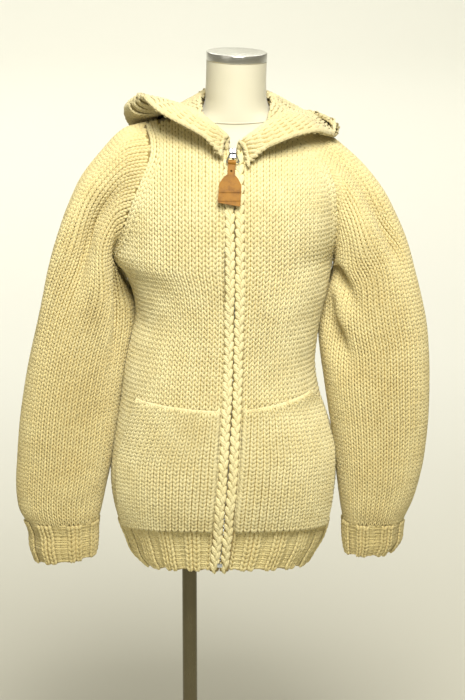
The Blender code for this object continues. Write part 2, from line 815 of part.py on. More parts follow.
def pocket(side, material):
    """A patch lying on the front, with a straight top and a slanted opening at the outer corner."""
    near_top, far_top = POCKET_TOP[side]
    edge = "right" if side == RIGHT else "left"
    under, over = [], []
    for j in range(POCKET_ROWS + 1):
        low_row, high_row = [], []
        for i in range(POCKET_COLUMNS + 1):
            u, v = i / POCKET_COLUMNS, j / POCKET_ROWS
            x, z = BODY("zip", POCKET_FIRST_GUESS), POCKET_FIRST_GUESS
            for _ in range(4):
                bottom = hem_top(across_at(x, z)) + POCKET_BOTTOM_OVER_HEM
                z = bottom + v * (near_top + (far_top - near_top) * u - bottom)
                near = math.asin(across_at(BODY("zip", z) + side * POCKET_FROM_ZIP, z))
                far = math.asin(across_at(POCKET_EDGE(edge, z), z))
                x = x_at(math.sin(near + u * (far - near)), z)
            point, normal = panel_frame(x, z)
            low_row.append(point + normal * POCKET_CLEAR[side])
            high_row.append(point + normal * (POCKET_CLEAR[side] + WALL))
        under.append(low_row)
        over.append(high_row)
    return wall("pocket_" + edge, np.array(over), np.array(under), False, material)


def band(side, material):
    """A plaited band along the zip: a low strip whose crown swells and wanders with the plait."""
    rows = int((BAND_TOP - BAND_BOTTOM) / BAND_PITCH * BAND_ROWS_PER_PITCH)
    under, over = [], []
    for j in range(rows + 1):
        z = BAND_BOTTOM + (BAND_TOP - BAND_BOTTOM) * j / rows
        phase = 2 * math.pi * j / BAND_ROWS_PER_PITCH
        low_row, high_row = [], []
        for i in range(4):
            share = i / 3
            x = BODY("zip", z) + side * (BAND_FROM_ZIP + BAND_WIDTH * share)
            point, normal = panel_frame(x, z)
            low_row.append(point + normal * ON_PANEL)
            crown = BAND_HEIGHT * (1.0 if 0 < i < 3 else BAND_EDGE_SHARE)
            if 0 < i < 3:
                crown += BAND_CROWN * (0.5 + 0.5 * math.cos(phase + math.pi * (i - 1)))
            high_row.append(point + normal * (ON_PANEL + crown))
        under.append(low_row)
        over.append(high_row)
    name = "zip_band_" + ("right" if side == RIGHT else "left")
    return wall(name, np.array(over), np.array(under), False, material)


def zip_chain(material):
    """A strip between the fronts, sunk into the gap, that stands for the teeth and the tapes' edges."""
    under, over = [], []
    for j in range(ZIP_ROWS + 1):
        z = BAND_BOTTOM + (BAND_TOP - BAND_BOTTOM) * j / ZIP_ROWS
        point, normal = panel_frame(BODY("zip", z), z)
        low_row, high_row = [], []
        for half in (-0.5, 0.5):
            beside = point + np.array([half * ZIP_WIDTH, 0, 0])
            low_row.append(beside - normal * (ZIP_SINK + ZIP_THICK))
            high_row.append(beside - normal * ZIP_SINK)
        under.append(low_row)
        over.append(high_row)
    return wall("zip_chain", np.array(over), np.array(under), False, material)


def loft(name, rings, material):
    """A closed solid from rings of points, bottom to top, with flat ends."""
    mesh_builder = bmesh.new()
    loops = [[mesh_builder.verts.new(point * MM) for point in ring] for ring in rings]
    count = len(rings[0])
    for low, high in zip(loops, loops[1:]):
        for i in range(count):
            n = (i + 1) % count
            mesh_builder.faces.new((low[i], low[n], high[n], high[i]))
    mesh_builder.faces.new(loops[0][::-1])
    mesh_builder.faces.new(loops[-1])
    turn_faces_out(mesh_builder)
    mesh = bpy.data.meshes.new(name)
    mesh_builder.to_mesh(mesh)
    mesh_builder.free()
    mesh.shade_smooth()
    mesh.set_sharp_from_angle(angle=SHARP_FROM)
    return add_object(name, mesh, material)


def form_torso(material):
    """Limbless torso and neck, lofted through the table's rings; its neck ends a little aslant."""
    rings = []
    for z in list(FORM.along[:-1]) + [FORM_TOP]:
        ring = []
        for i in range(FORM_COLUMNS):
            turn = 2 * math.pi * i / FORM_COLUMNS
            depth = FORM("back" if math.sin(turn) > 0 else "front", z)
            across = FORM("half", z) * math.cos(turn)
            lean = math.tan(CAP_LEAN) * across if z == FORM_TOP else 0.0
            ring.append(np.array([FORM("x", z) + across, depth * math.sin(turn), z - lean]))
        rings.append(ring)
    return loft("form_torso", rings, material)


def turned(name, profile, material):
    """A turned solid from (radius, height) pairs, from the top of its axis down its outer side."""
    mesh = bpy.data.meshes.new(name)
    edges = [(i, i + 1) for i in range(len(profile) - 1)]
    mesh.from_pydata([(radius * MM, 0, z * MM) for radius, z in profile], edges, [])
    piece = add_object(name, mesh, material)
    screw = piece.modifiers.new("turn", "SCREW")
    screw.steps = TURN_STEPS
    screw.render_steps = TURN_STEPS
    screw.use_merge_vertices = True
    screw.merge_threshold = 0.00005
    screw.use_smooth_shade = True
    return piece


def rounded_box(name, size, bevel):
    """A box at the origin with rounded edges."""
    builder = bmesh.new()
    bmesh.ops.create_cube(builder, size=1, matrix=Matrix.Diagonal([side * MM for side in size] + [1]))
    mesh = bpy.data.meshes.new(name)
    builder.to_mesh(mesh)
    builder.free()
    piece = bpy.data.objects.new(name, mesh)
    round_edges(piece, bevel, 2)
    return piece


def round_edges(piece, width, segments):
    modifier = piece.modifiers.new("round", "BEVEL")
    modifier.width = width * MM
    modifier.segments = segments
    modifier.limit_method = "ANGLE"
    modifier.angle_limit = BEVEL_FROM


def wire(name, points, radius, cyclic):
    """A round wire along the points, as a mesh."""
    curve = bpy.data.curves.new(name, "CURVE")
    curve.dimensions = "3D"
    curve.bevel_depth = radius * MM
    curve.bevel_resolution = 2
    curve.use_fill_caps = True
    path = curve.splines.new("POLY")
    path.points.add(len(points) - 1)
    for spot, point in zip(path.points, points):
        spot.co = (point[0] * MM, point[1] * MM, point[2] * MM, 1)
    path.use_cyclic_u = cyclic
    return as_mesh(bpy.data.objects.new(name, curve))


def as_mesh(drawn):
    """Turns a curve object into a mesh object with its caps welded."""
    bpy.context.scene.collection.objects.link(drawn)
    bpy.context.view_layer.update()
    evaluated = drawn.evaluated_get(bpy.context.evaluated_depsgraph_get())
    mesh = bpy.data.meshes.new_from_object(evaluated)
    builder = bmesh.new()
    builder.from_mesh(mesh)
    bmesh.ops.remove_doubles(builder, verts=builder.verts, dist=0.00001)
    builder.to_mesh(mesh)
    builder.free()
    mesh.shade_smooth()
    mesh.set_sharp_from_angle(angle=SHARP_FROM)
    name = drawn.name
    bpy.data.objects.remove(drawn)
    return bpy.data.objects.new(name, mesh)


def join(piece, other, operation):
    """A Boolean with a helper that keeps to the cutters' collection."""
    cutters.objects.link(other)
    other.hide_render = True
    other.display_type = "WIRE"
    other.parent = piece
    modifier = piece.modifiers.new(other.name, "BOOLEAN")
    modifier.operation = operation
    modifier.object = other


def place(piece, material, location, tilt):
    """Puts a piece, whose own -Y is the outward side, on the sloping front."""
    piece.data.materials.clear()
    piece.data.materials.append(material)
    piece.location = [side * MM for side in location]
    piece.rotation_euler = (tilt, 0, 0)
    parts.objects.link(piece)


def corner_round(points, radius, steps):
    """The closed path with each corner cut to a short arc."""
    path = []
    count = len(points)
    for i in range(count):
        here = Vector(points[i])
        before = (Vector(points[i - 1]) - here).normalized() * radius
        after = (Vector(points[(i + 1) % count]) - here).normalized() * radius
        for k in range(steps + 1):
            t = k / steps
            path.append(here + before * (1 - t) ** 2 + after * t**2)
    return path


for old in list(bpy.data.objects):
    bpy.data.objects.remove(old)

parts = bpy.data.collections.new("hooded_knitted_cardigan")
cutters = bpy.data.collections.new("cutters")
bpy.context.scene.collection.children.link(parts)
bpy.context.scene.collection.children.link(cutters)

CREAM = (0.80, 0.70, 0.42)
CREAM_DEEP = (0.66, 0.54, 0.28)

# Body panels, sleeves and hood: grids of outer points first, then one normal for each shared seam point
panel_columns = NECK_COLUMNS + SHOULDER_COLUMNS
fronts = {side: front_grid(side) for side in (RIGHT, LEFT)}
back = back_grid()
sleeves = {side: sleeve_grid(side) for side in (RIGHT, LEFT)}
neckline = list(fronts[RIGHT][-1, : NECK_COLUMNS + 1])
neckline += list(back[-1, SHOULDER_COLUMNS + 1 : -SHOULDER_COLUMNS - 1])
neckline += list(fronts[LEFT][-1, NECK_COLUMNS::-1])
for end, beside in ((0, 1), (-1, -2)):
    along_neck = neckline[beside] - neckline[end]
    step = HOOD_FROM_ZIP / np.linalg.norm(along_neck)
    neckline[end] = neckline[end] + along_neck * step + np.array([0, 0, HOOD_LIFT])
hood = hood_grid(neckline)

seamed = [(fronts[side][1:], grid_normals(fronts[side], False, side)[1:]) for side in (RIGHT, LEFT)]
seamed += [(back[1:], grid_normals(back, False, FRONT)[1:])]
seamed += [(sleeves[side][:-1], grid_normals(sleeves[side], True, -side)[:-1]) for side in (RIGHT, LEFT)]
hood_normals = grid_normals(hood, False, FRONT)
for _ in range(HOOD_NORMAL_PASSES):
    hood_normals = evened(hood_normals)
from_neck = (hood[0] - [NECK_X, 0, 0]) * [1, 1, 0]
hood_normals[0] = from_neck / np.linalg.norm(from_neck, axis=1, keepdims=True)
seamed += [(hood, hood_normals)]
share_normals(seamed)
for end, (front, front_normals) in ((0, seamed[0]), (-1, seamed[1])):
    seamed[-1][1][0, end] = (1 - step) * front_normals[-1, 0] + step * front_normals[-1, 1]

pieces = (
    ("front_right", CREAM, 0),
    ("front_left", CREAM, 0),
    ("back", CREAM, 0),
    ("sleeve_right", CREAM, 1),
    ("sleeve_left", CREAM, 1),
    ("hood", CREAM, 0),
)
for (name, color, around), (grid, normals) in zip(pieces, seamed):
    cloth_wall(name, grid, normals, bool(around), make_material(name + "_wool", color, WOOL_ROUGHNESS))

# Hem rib in three parts, their side seams shared
hem_columns = panel_columns * HEM_COLUMNS_PER_PANEL_COLUMN
hems = []
for side in (RIGHT, LEFT):
    grid = hem_grid(lambda u, z, side=side: front_across(side, u, z), FRONT, hem_columns)
    hems.append((grid[:-1], grid_normals(grid, False, side)[:-1]))
grid = hem_grid(lambda u, z: back_across(2 * u - 1), BACK, 2 * hem_columns)
hems.append((grid[:-1], grid_normals(grid, False, FRONT)[:-1]))
share_normals(hems)
for name, (grid, normals) in zip(("hem_front_right", "hem_front_left", "hem_back"), hems):
    plain = 0 if name == "hem_back" else RIB_PLAIN_BY_ZIP
    rib = make_material(name + "_wool", CREAM_DEEP, WOOL_ROUGHNESS)
    ribbed_wall(name, grid, normals, False, rib, plain > 0, plain, -1)

for side, name in ((RIGHT, "cuff_right"), (LEFT, "cuff_left")):
    grid = cuff_grid(side)
    normals = grid_normals(grid, True, -side)
    rib = make_material(name + "_wool", CREAM_DEEP, WOOL_ROUGHNESS)
    ribbed_wall(name, grid[1:], normals[1:], True, rib, False, 0, 0)

for side, name in ((RIGHT, "right"), (LEFT, "left")):
    pocket(side, make_material("pocket_wool_" + name, CREAM, WOOL_ROUGHNESS))
    band(side, make_material("band_wool_" + name, CREAM, WOOL_ROUGHNESS))

metal = make_material("zip_metal", (0.78, 0.77, 0.72), 0.35, 1.0)
zip_chain(metal)

# Slider and its bail, one casting; the link's top bar runs under the bail
zip_x = BODY("zip", SLIDER_Z)
seat, seat_normal = panel_frame(zip_x, SLIDER_Z)
slope = math.atan2(-seat_normal[2], -seat_normal[1])
slider_middle = seat + seat_normal * (SLIDER_CLEAR + SLIDER_SIZE[1] / 2)
slider = rounded_box("zip_slider", SLIDER_SIZE, 1.2)
arch = []
for step in range(BAIL_STEPS + 1):
    turn = math.pi * step / BAIL_STEPS
    arch.append((0, -SLIDER_SIZE[1] / 2 + BAIL_SINK - BAIL_HALF * math.sin(turn), BAIL_HALF * math.cos(turn)))
bail = wire("bail", arch, BAIL_WIRE, False)
join(slider, bail, "UNION")
place(slider, metal, slider_middle, slope)

hinge = slider_middle + seat_normal * (SLIDER_SIZE[1] / 2 + LINK_OFF_SLIDER)
link_path = corner_round(
    [
        (-LINK_TOP_HALF, 0, 0),
        (LINK_TOP_HALF, 0, 0),
        (LINK_BOTTOM_HALF, 0, -LINK_LENGTH),
        (-LINK_BOTTOM_HALF, 0, -LINK_LENGTH),
    ],
    LINK_CORNER,
    4,
)
link = wire("zip_link", link_path, LINK_WIRE, True)
place(link, metal, hinge, -LINK_HANG)
pull = bpy.data.objects.new("pull", None)
pull.location = [side * MM for side in hinge]
parts.objects.link(pull)

# Leather tag: a flat outline, and a rolled head that holds the link's lower bar
leather = make_material("tag_leather", (0.76, 0.42, 0.10), 0.45)
outline = bpy.data.curves.new("pull_tag", "CURVE")
outline.dimensions = "2D"
outline.fill_mode = "BOTH"
outline.extrude = TAG_THICK / 2 * MM
edge = outline.splines.new("POLY")
edge.points.add(len(TAG_OUTLINE) - 1)
for spot, (x, z) in zip(edge.points, TAG_OUTLINE):
    spot.co = (x * MM, z * MM, 0, 1)
edge.use_cyclic_u = True
tag = as_mesh(bpy.data.objects.new("pull_tag", outline))
tag.data.transform(Matrix.Rotation(math.radians(90), 4, "X"))
for name, radius, half, location, turn, operation in (
    ("tag_roll", TAG_ROLL_RADIUS, TAG_ROLL_HALF, (0, 0, 0), (0, 90, 0), "UNION"),
    ("tag_roll_hole", TAG_ROLL_HOLE, TAG_ROLL_HALF + 2, (0, 0, 0), (0, 90, 0), "DIFFERENCE"),
    ("tag_eye", TAG_EYE_RADIUS, TAG_THICK, (0, 0, -TAG_EYE_DOWN), (90, 0, 0), "DIFFERENCE"),
):
    builder = bmesh.new()
    sizes = {"radius1": radius * MM, "radius2": radius * MM, "depth": 2 * half * MM}
    bmesh.ops.create_cone(builder, cap_ends=True, segments=TAG_ROUND_STEPS, **sizes)
    mesh = bpy.data.meshes.new(name)
    builder.to_mesh(mesh)
    builder.free()
    round_bar = bpy.data.objects.new(name, mesh)
    round_bar.location = [side * MM for side in location]
    round_bar.rotation_euler = [math.radians(angle) for angle in turn]
    join(tag, round_bar, operation)
link_end = np.array([TAG_ALONG_LINK, -LINK_LENGTH * math.sin(LINK_HANG), -LINK_LENGTH * math.cos(LINK_HANG)])
place(tag, leather, hinge + link_end, -TAG_HANG)
tag.rotation_euler = (Matrix.Rotation(-TAG_HANG, 3, "X") @ Matrix.Rotation(TAG_ASKEW, 3, "Y")).to_euler()
for piece in (link, tag):
    piece.location -= pull.location
    piece.parent = pull

stop_z = BAND_BOTTOM + STOP_UP
stop_point, stop_normal = panel_frame(BODY("zip", stop_z), stop_z)
stop = rounded_box("zip_stop", STOP_SIZE, 0.6)
stop_out = BAND_HEIGHT + BAND_CROWN * STOP_UP_CROWN + ON_PANEL + PARTS_APART + STOP_SIZE[1] / 2
place(stop, metal, stop_point + stop_normal * stop_out, math.atan2(-stop_normal[2], -stop_normal[1]))

# Dress form on its stand
form_torso(make_material("form_cover", (0.93, 0.91, 0.84), 0.6))
steel = make_material("stand_steel", (0.55, 0.54, 0.50), 0.25, 1.0)
cap = turned(
    "neck_cap",
    [
        (0, CAP_THICK),
        (CAP_RADIUS - 2, CAP_THICK),
        (CAP_RADIUS, CAP_THICK - 2),
        (CAP_RADIUS, 1),
        (CAP_RADIUS - 1, 0),
        (0, 0),
    ],
    steel,
)
cap.location = (FORM("x", FORM_TOP) * MM, CAP_Y * MM, (FORM_TOP + PARTS_APART) * MM)
cap.rotation_euler = (0, CAP_LEAN, 0)
pole_top = FORM.along[0] - PARTS_APART
pole_foot = COLLAR_TOP + PARTS_APART
turned("pole", [(0, pole_top), (POLE_RADIUS, pole_top), (POLE_RADIUS, pole_foot), (0, pole_foot)], steel)
turned(
    "base",
    [
        (0, COLLAR_TOP),
        (COLLAR_RADIUS - 2, COLLAR_TOP),
        (COLLAR_RADIUS, COLLAR_TOP - 2),
        (COLLAR_RADIUS, BASE_THICK + 4),
        (COLLAR_RADIUS + 4, BASE_THICK),
        (BASE_RADIUS - BASE_EDGE, BASE_THICK),
        (BASE_RADIUS, BASE_THICK - BASE_EDGE),
        (BASE_RADIUS, 1),
        (BASE_RADIUS - 1, 0),
        (0, 0),
    ],
    steel,
)
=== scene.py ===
"""Looks of a hooded knitted cardigan, zipped up, on a limbless dress form with a steel stand.

+Z is up, the front faces -Y, and "right" is the wearer's right, at -X. Sizes are in millimetres where a
name or a comment doesn't say otherwise, and become metres where a mesh is written.
"""

import math

import bmesh
import bpy
import numpy as np
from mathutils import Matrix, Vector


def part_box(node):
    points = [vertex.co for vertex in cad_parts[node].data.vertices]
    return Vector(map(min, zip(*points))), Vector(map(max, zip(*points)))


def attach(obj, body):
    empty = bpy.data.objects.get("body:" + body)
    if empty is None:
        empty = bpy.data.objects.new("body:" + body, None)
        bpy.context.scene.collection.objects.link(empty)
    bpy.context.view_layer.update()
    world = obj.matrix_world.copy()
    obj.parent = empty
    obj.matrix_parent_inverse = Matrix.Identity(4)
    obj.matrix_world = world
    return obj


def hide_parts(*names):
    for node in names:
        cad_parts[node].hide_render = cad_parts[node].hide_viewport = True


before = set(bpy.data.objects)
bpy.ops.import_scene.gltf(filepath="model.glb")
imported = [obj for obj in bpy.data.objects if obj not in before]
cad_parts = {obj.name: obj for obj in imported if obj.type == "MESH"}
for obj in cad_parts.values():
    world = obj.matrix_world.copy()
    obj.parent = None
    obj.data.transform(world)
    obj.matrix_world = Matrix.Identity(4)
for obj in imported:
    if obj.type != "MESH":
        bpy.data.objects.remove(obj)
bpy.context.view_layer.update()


# ---- Camera: a long lens in front of the garment and above it, looking a little down. Its place is in metres.
def placed(name, data):
    """A new object in the scene, at the origin."""
    made = bpy.data.objects.new(name, data)
    bpy.context.scene.collection.objects.link(made)
    return made


LENS, CAMERA_AT, CAMERA_TILT = 133.714, (0.066, -3.76711, 1.86939), math.radians(75)
camera_lens = bpy.data.cameras.new("camera")
camera_lens.lens = LENS
camera = placed("camera", camera_lens)
camera.location = CAMERA_AT
camera.rotation_euler = (CAMERA_TILT, 0, 0)
bpy.context.scene.camera = camera
bpy.context.scene.view_settings.view_transform = "Standard"

# ---- Stage: a seamless pale sweep, floor and wall in one, under soft studio light; all in metres.
# Painted board, matt and a little warm. The two classes write its material, and the later ones, as formulas.
MM = 0.001


class Shade:
    """A socket of a material's tree; arithmetic on it adds nodes."""

    def __init__(self, tree, socket):
        self.tree, self.socket = tree, socket

    def node(self, kind, inputs, output=0, **settings):
        """Any other node, with inputs by name or number."""
        made = self.tree.nodes.new(kind)
        for name, value in settings.items():
            setattr(made, name, value)
        for name, value in inputs.items():
            if isinstance(value, Shade):
                self.tree.links.new(value.socket, made.inputs[name])
            else:
                made.inputs[name].default_value = value
        return Shade(self.tree, made.outputs[output])

    def math(self, operation, other, swapped=False):
        pair = (other, self) if swapped else (self, other)
        return self.node("ShaderNodeMath", {0: pair[0], 1: pair[1]}, operation=operation)

    def __add__(self, other):
        return self.math("ADD", other)

    def __sub__(self, other):
        return self.math("SUBTRACT", other)

    def __rsub__(self, other):
        return self.math("SUBTRACT", other, True)

    def __mul__(self, other):
        return self.math("MULTIPLY", other)

    def ramp(self, low, high):
        """0 below low, 1 above high, and smooth between them."""
        inputs = {"Value": self, "From Min": low, "From Max": high}
        return self.node("ShaderNodeMapRange", inputs, interpolation_type="SMOOTHSTEP")

    def mix(self, none, full):
        """The colour none where this is 0, full where it is 1."""
        return self.node("ShaderNodeMix", {0: self, 6: (*none, 1), 7: (*full, 1)}, 2, data_type="RGBA")

    def noise(self, scale, detail=2.0, roughness=0.5):
        inputs = {"Vector": self, "Scale": scale, "Detail": detail, "Roughness": roughness}
        return self.node("ShaderNodeTexNoise", inputs, "Fac")


class Finish:
    """A Principled material under construction."""

    def __init__(self, name, roughness, metallic=0.0):
        self.material = bpy.data.materials.new(name)
        self.material.use_nodes = True
        self.tree = self.material.node_tree
        self.shader = self.tree.nodes["Principled BSDF"]
        self.set(Roughness=roughness, Metallic=metallic)
        place = self.tree.nodes.new("ShaderNodeTexCoord")
        self.place = Shade(self.tree, place.outputs["Object"])
        self.uv = Shade(self.tree, place.outputs["UV"])

    def set(self, **values):
        for name, value in values.items():
            socket = self.shader.inputs[name.replace("_", " ")]
            if isinstance(value, Shade):
                self.tree.links.new(value.socket, socket)
            else:
                socket.default_value = value

    def bump(self, height, distance, strength=1.0):
        inputs = {"Height": height, "Distance": distance * MM, "Strength": strength}
        self.set(Normal=height.node("ShaderNodeBump", inputs))


def meshed(name, points, faces, material):
    """A smooth mesh object, from points in metres."""
    mesh = bpy.data.meshes.new(name)
    mesh.from_pydata(points, [], faces)
    mesh.shade_smooth()
    mesh.materials.append(material)
    return placed(name, mesh)


SWEEP_HALF, SWEEP_FRONT, SWEEP_BEND, SWEEP_RADIUS, SWEEP_TOP, SWEEP_STEPS = 10.0, -9.0, 8.5, 2.5, 7.0, 24
# Colours of the near floor and the far wall: the near one is darker as painted shade
BOARD_NEAR_SHADE, BOARD_FAR_LIT = (0.58, 0.56, 0.47), (0.84, 0.83, 0.76)
profile = [(SWEEP_FRONT, 0.0)]
for step in range(SWEEP_STEPS + 1):
    turn = math.pi / 2 * step / SWEEP_STEPS
    profile.append((SWEEP_BEND + SWEEP_RADIUS * math.sin(turn), SWEEP_RADIUS * (1 - math.cos(turn))))
profile.append((SWEEP_BEND + SWEEP_RADIUS, SWEEP_TOP))
points = [(x, y, z) for y, z in profile for x in (-SWEEP_HALF, SWEEP_HALF)]
faces = [(2 * i, 2 * i + 1, 2 * i + 3, 2 * i + 2) for i in range(len(profile) - 1)]
board = Finish("board", 0.9)
# The board runs from darker on the near floor to paler up the far wall, painted shade, with a little random tone
reach = board.place.node("ShaderNodeSeparateXYZ", {0: board.place}, "Y")
board.set(Base_Color=(reach + board.place.noise(0.7) * 0.3).ramp(0.6, 3.4).mix(BOARD_NEAR_SHADE, BOARD_FAR_LIT))
sweep = meshed("sweep", points, faces, board.material)

LIGHTS = (
    # name, power in watts, size, colour, from, towards
    ("key", 127.0, 1.15, (1.0, 0.99, 0.95), (0.30, -1.75, 3.10), (0.05, 0.0, 1.05)),
    ("fill", 10.0, 2.4, (1.0, 0.97, 0.88), (-2.4, -2.8, 2.2), (0.0, 0.0, 0.9)),
    ("backdrop", 385.0, 6.0, (1.0, 1.0, 0.93), (-0.7, 6.2, 5.6), (-0.7, 6.2, 0.0)),
)
for name, power, size, color, place, target in LIGHTS:
    lamp = bpy.data.lights.new(name, "AREA")
    lamp.energy, lamp.size, lamp.color = power, size, color
    light = placed(name, lamp)
    light.location = place
    away = np.array(place) - np.array(target)
    light.rotation_euler = (math.atan2(math.hypot(away[0], away[1]), away[2]), 0, math.atan2(away[0], -away[1]))

ROOM_COLOR, ROOM_STRENGTH = (1.0, 0.95, 0.78, 1), 0.27
world = bpy.data.worlds.new("studio")
world.use_nodes = True
room = world.node_tree.nodes["Background"].inputs
room["Color"].default_value = ROOM_COLOR
room["Strength"].default_value = ROOM_STRENGTH
bpy.context.scene.world = world


# ---- Wool: two-ply undyed cream yarn, soft, fuzzy and a little uneven in tone.
# The yarn carries its own twist along its UV; the shell under the stitches is the same wool, seen in the gaps,
# coloured much darker there as painted shade.
def wool(name, light, dark, twist=True):
    finish = Finish(name, 0.92)
    cloudy = finish.place.noise(26.0)
    fine = finish.place.noise(420.0)
    finish.set(Base_Color=(cloudy * 0.55 + fine * 0.45).ramp(0.32, 0.68).mix(dark, light))
    finish.set(Sheen_Weight=0.25, Sheen_Roughness=0.5, Sheen_Tint=(1.0, 0.96, 0.84, 1), Specular_IOR_Level=0.2)
    fuzz = finish.place.noise(900.0, 3.0, 0.65)
    if twist:
        inputs = {"Vector": finish.uv, "Scale": 1.5, "Distortion": 1.2, "Detail": 1.0, "Detail Scale": 2.0}
        ply = finish.uv.node("ShaderNodeTexWave", inputs, "Fac", bands_direction="DIAGONAL")
        finish.bump(fuzz * 0.5 + ply * 0.5, 0.9)
    else:
        finish.bump(fuzz, 0.8)
    return finish.material


yarn = wool("cream_yarn", (0.81, 0.72, 0.40), (0.74, 0.635, 0.32))
# Far darker than the yarn: painted shade in the gaps between stitches
shaded_ground = wool("cream_ground_shade", (0.32, 0.24, 0.08), (0.26, 0.19, 0.06), twist=False)


# ---- Knitting: one leg of a stitch, and the tree that lays legs over a cloth.
# A leg is a leaf-shaped half of yarn; places holds where each lies, how it is turned and its size.
# How full the leaf is: 2 would be an ellipse
LEAF = 2.4


def yarn_leg(name, stations, around):
    """A leg of unit width, length and height, pointed at both ends, open below."""
    builder = bmesh.new()
    uv = builder.loops.layers.uv.new("UVMap")
    rows = []
    for along in stations:
        swell = (1 - abs(2 * along) ** LEAF) ** 0.5
        row = []
        for i in range(around + 1):
            turn = math.pi * i / around
            row.append(builder.verts.new((0.5 * swell * math.cos(turn), along, swell * math.sin(turn))))
        rows.append(row)
    foot, tip = builder.verts.new((0, -0.5, 0)), builder.verts.new((0, 0.5, 0))

    def face(corners):
        made = builder.faces.new(corners)
        made.smooth = True
        for loop in made.loops:
            loop[uv].uv = (loop.vert.co.x + 0.5, (loop.vert.co.y + 0.5) * 2)

    for i in range(around):
        face((foot, rows[0][i], rows[0][i + 1]))
        for low, high in zip(rows, rows[1:]):
            face((low[i], high[i], high[i + 1], low[i + 1]))
        face((rows[-1][i], tip, rows[-1][i + 1]))
    bmesh.ops.reverse_faces(builder, faces=builder.faces)
    mesh = bpy.data.meshes.new(name)
    builder.to_mesh(mesh)
    builder.free()
    return placed(name, mesh)


def knitting_tree():
    """Lays a leg on every point, turned by "turn" and sized by "size", each a little uneven."""
    tree = bpy.data.node_groups.new("knitting", "GeometryNodeTree")
    inputs = {"Geometry": "Geometry", "Leg": "Object", "Yarn": "Material", "Unevenness": "Float", "Seed": "Int"}
    for label, kind in inputs.items():
        tree.interface.new_socket(label, in_out="INPUT", socket_type="NodeSocket" + kind)
    tree.interface.new_socket("Geometry", in_out="OUTPUT", socket_type="NodeSocketGeometry")

    def node(kind, **settings):
        made = tree.nodes.new(kind)
        for name, value in settings.items():
            setattr(made, name, value)
        return made

    def stored(label):
        made = node("GeometryNodeInputNamedAttribute", data_type="FLOAT_VECTOR")
        made.inputs["Name"].default_value = label
        return made.outputs[0]

    def numbers(sockets):
        return {socket.name: socket for socket in sockets if socket.type == "VALUE"}

    link = tree.links.new
    start, end = node("NodeGroupInput"), node("NodeGroupOutput")
    uneven = node("FunctionNodeRandomValue", data_type="FLOAT")
    for label, operation in (("Min", "SUBTRACT"), ("Max", "ADD")):
        bound = node("ShaderNodeMath", operation=operation)
        bound.inputs[0].default_value = 1.0
        link(start.outputs["Unevenness"], bound.inputs[1])
        link(bound.outputs[0], numbers(uneven.inputs)[label])
    link(start.outputs["Seed"], uneven.inputs["Seed"])
    scaled = node("ShaderNodeVectorMath", operation="SCALE")
    link(stored("size"), scaled.inputs[0])
    link(numbers(uneven.outputs)["Value"], scaled.inputs["Scale"])
    rotation = node("FunctionNodeEulerToRotation")
    link(stored("turn"), rotation.inputs[0])
    leg = node("GeometryNodeObjectInfo")
    link(start.outputs["Leg"], leg.inputs["Object"])
    lay = node("GeometryNodeInstanceOnPoints")
    link(start.outputs["Geometry"], lay.inputs["Points"])
    link(leg.outputs["Geometry"], lay.inputs["Instance"])
    link(rotation.outputs[0], lay.inputs["Rotation"])
    link(scaled.outputs[0], lay.inputs["Scale"])
    real = node("GeometryNodeRealizeInstances")
    link(lay.outputs[0], real.inputs[0])
    dye = node("GeometryNodeSetMaterial")
    link(real.outputs[0], dye.inputs["Geometry"])
    link(start.outputs["Yarn"], dye.inputs["Material"])
    link(dye.outputs[0], end.inputs[0])
    return tree


knitting = knitting_tree()
fine_leg = yarn_leg("fine_leg", (-0.34, 0.0, 0.34), 3)
plain_leg = yarn_leg("plain_leg", (-0.3, 0.3), 3)


def knit(name, places, leg, material=yarn, unevenness=0.06, seed=1):
    """A mesh object with a leg at every place."""
    points, turns, sizes = (np.concatenate(part) for part in zip(*places))
    mesh = bpy.data.meshes.new(name)
    mesh.vertices.add(len(points))
    mesh.vertices.foreach_set("co", (points * MM).ravel())
    for label, values in (("turn", turns), ("size", sizes * MM)):
        layer = mesh.attributes.new(label, "FLOAT_VECTOR", "POINT")
        layer.data.foreach_set("vector", values.ravel())
    piece = placed(name, mesh)
    modifier = piece.modifiers.new("knitting", "NODES")
    modifier.node_group = knitting
    values = {"Leg": leg, "Yarn": material, "Unevenness": unevenness, "Seed": seed}
    for item in knitting.interface.items_tree:
        if item.in_out == "INPUT" and item.name in values:
            modifier[item.identifier] = values[item.name]
    bpy.context.view_layer.update()
    made = bpy.data.meshes.new_from_object(piece.evaluated_get(bpy.context.evaluated_depsgraph_get()))
    piece.modifiers.clear()
    piece.data = made
    made.name = name
    for label in ("turn", "size"):
        if label in made.attributes:
            made.attributes.remove(made.attributes[label])
    return piece


def unit(vectors):
    return vectors / np.maximum(np.linalg.norm(vectors, axis=-1, keepdims=True), 1e-9)


def across_normals(vectors, normals):
    """Unit vectors with what points along the normals taken out."""
    return unit(vectors - normals * np.sum(vectors * normals, axis=1, keepdims=True))


def laid(points, along, normals, widths, lengths, heights):
    """Places for legs that point along the cloth and stand on its normals."""
    normals = unit(normals)
    along = across_normals(along, normals)
    side = np.cross(along, normals)
    roll = np.arctan2(along[:, 2], normals[:, 2])
    pitch = -np.arcsin(np.clip(side[:, 2], -1, 1))
    turns = np.column_stack([roll, pitch, np.arctan2(side[:, 1], side[:, 0])])
    sizes = np.column_stack([np.broadcast_to(part, len(points)) for part in (widths, lengths, heights)])
    return points, turns, sizes


# How deep a leg's open side sits under the cloth's face, and how far a knit stitch's two legs lean apart
SUNK, LEAN = 1.2, math.radians(13)
# A leg's distance from the stitch's middle, its width and its length, as shares of the stitch
LEG_OFF, LEG_WIDE, LEG_LONG = 0.225, 0.47, 1.65
# A purl bump's shares of the stitch's height and width, and how much lower the bumps between rows lie
PURL_HIGH, PURL_WIDE, PURL_LOWER = 0.82, 1.12, 0.3


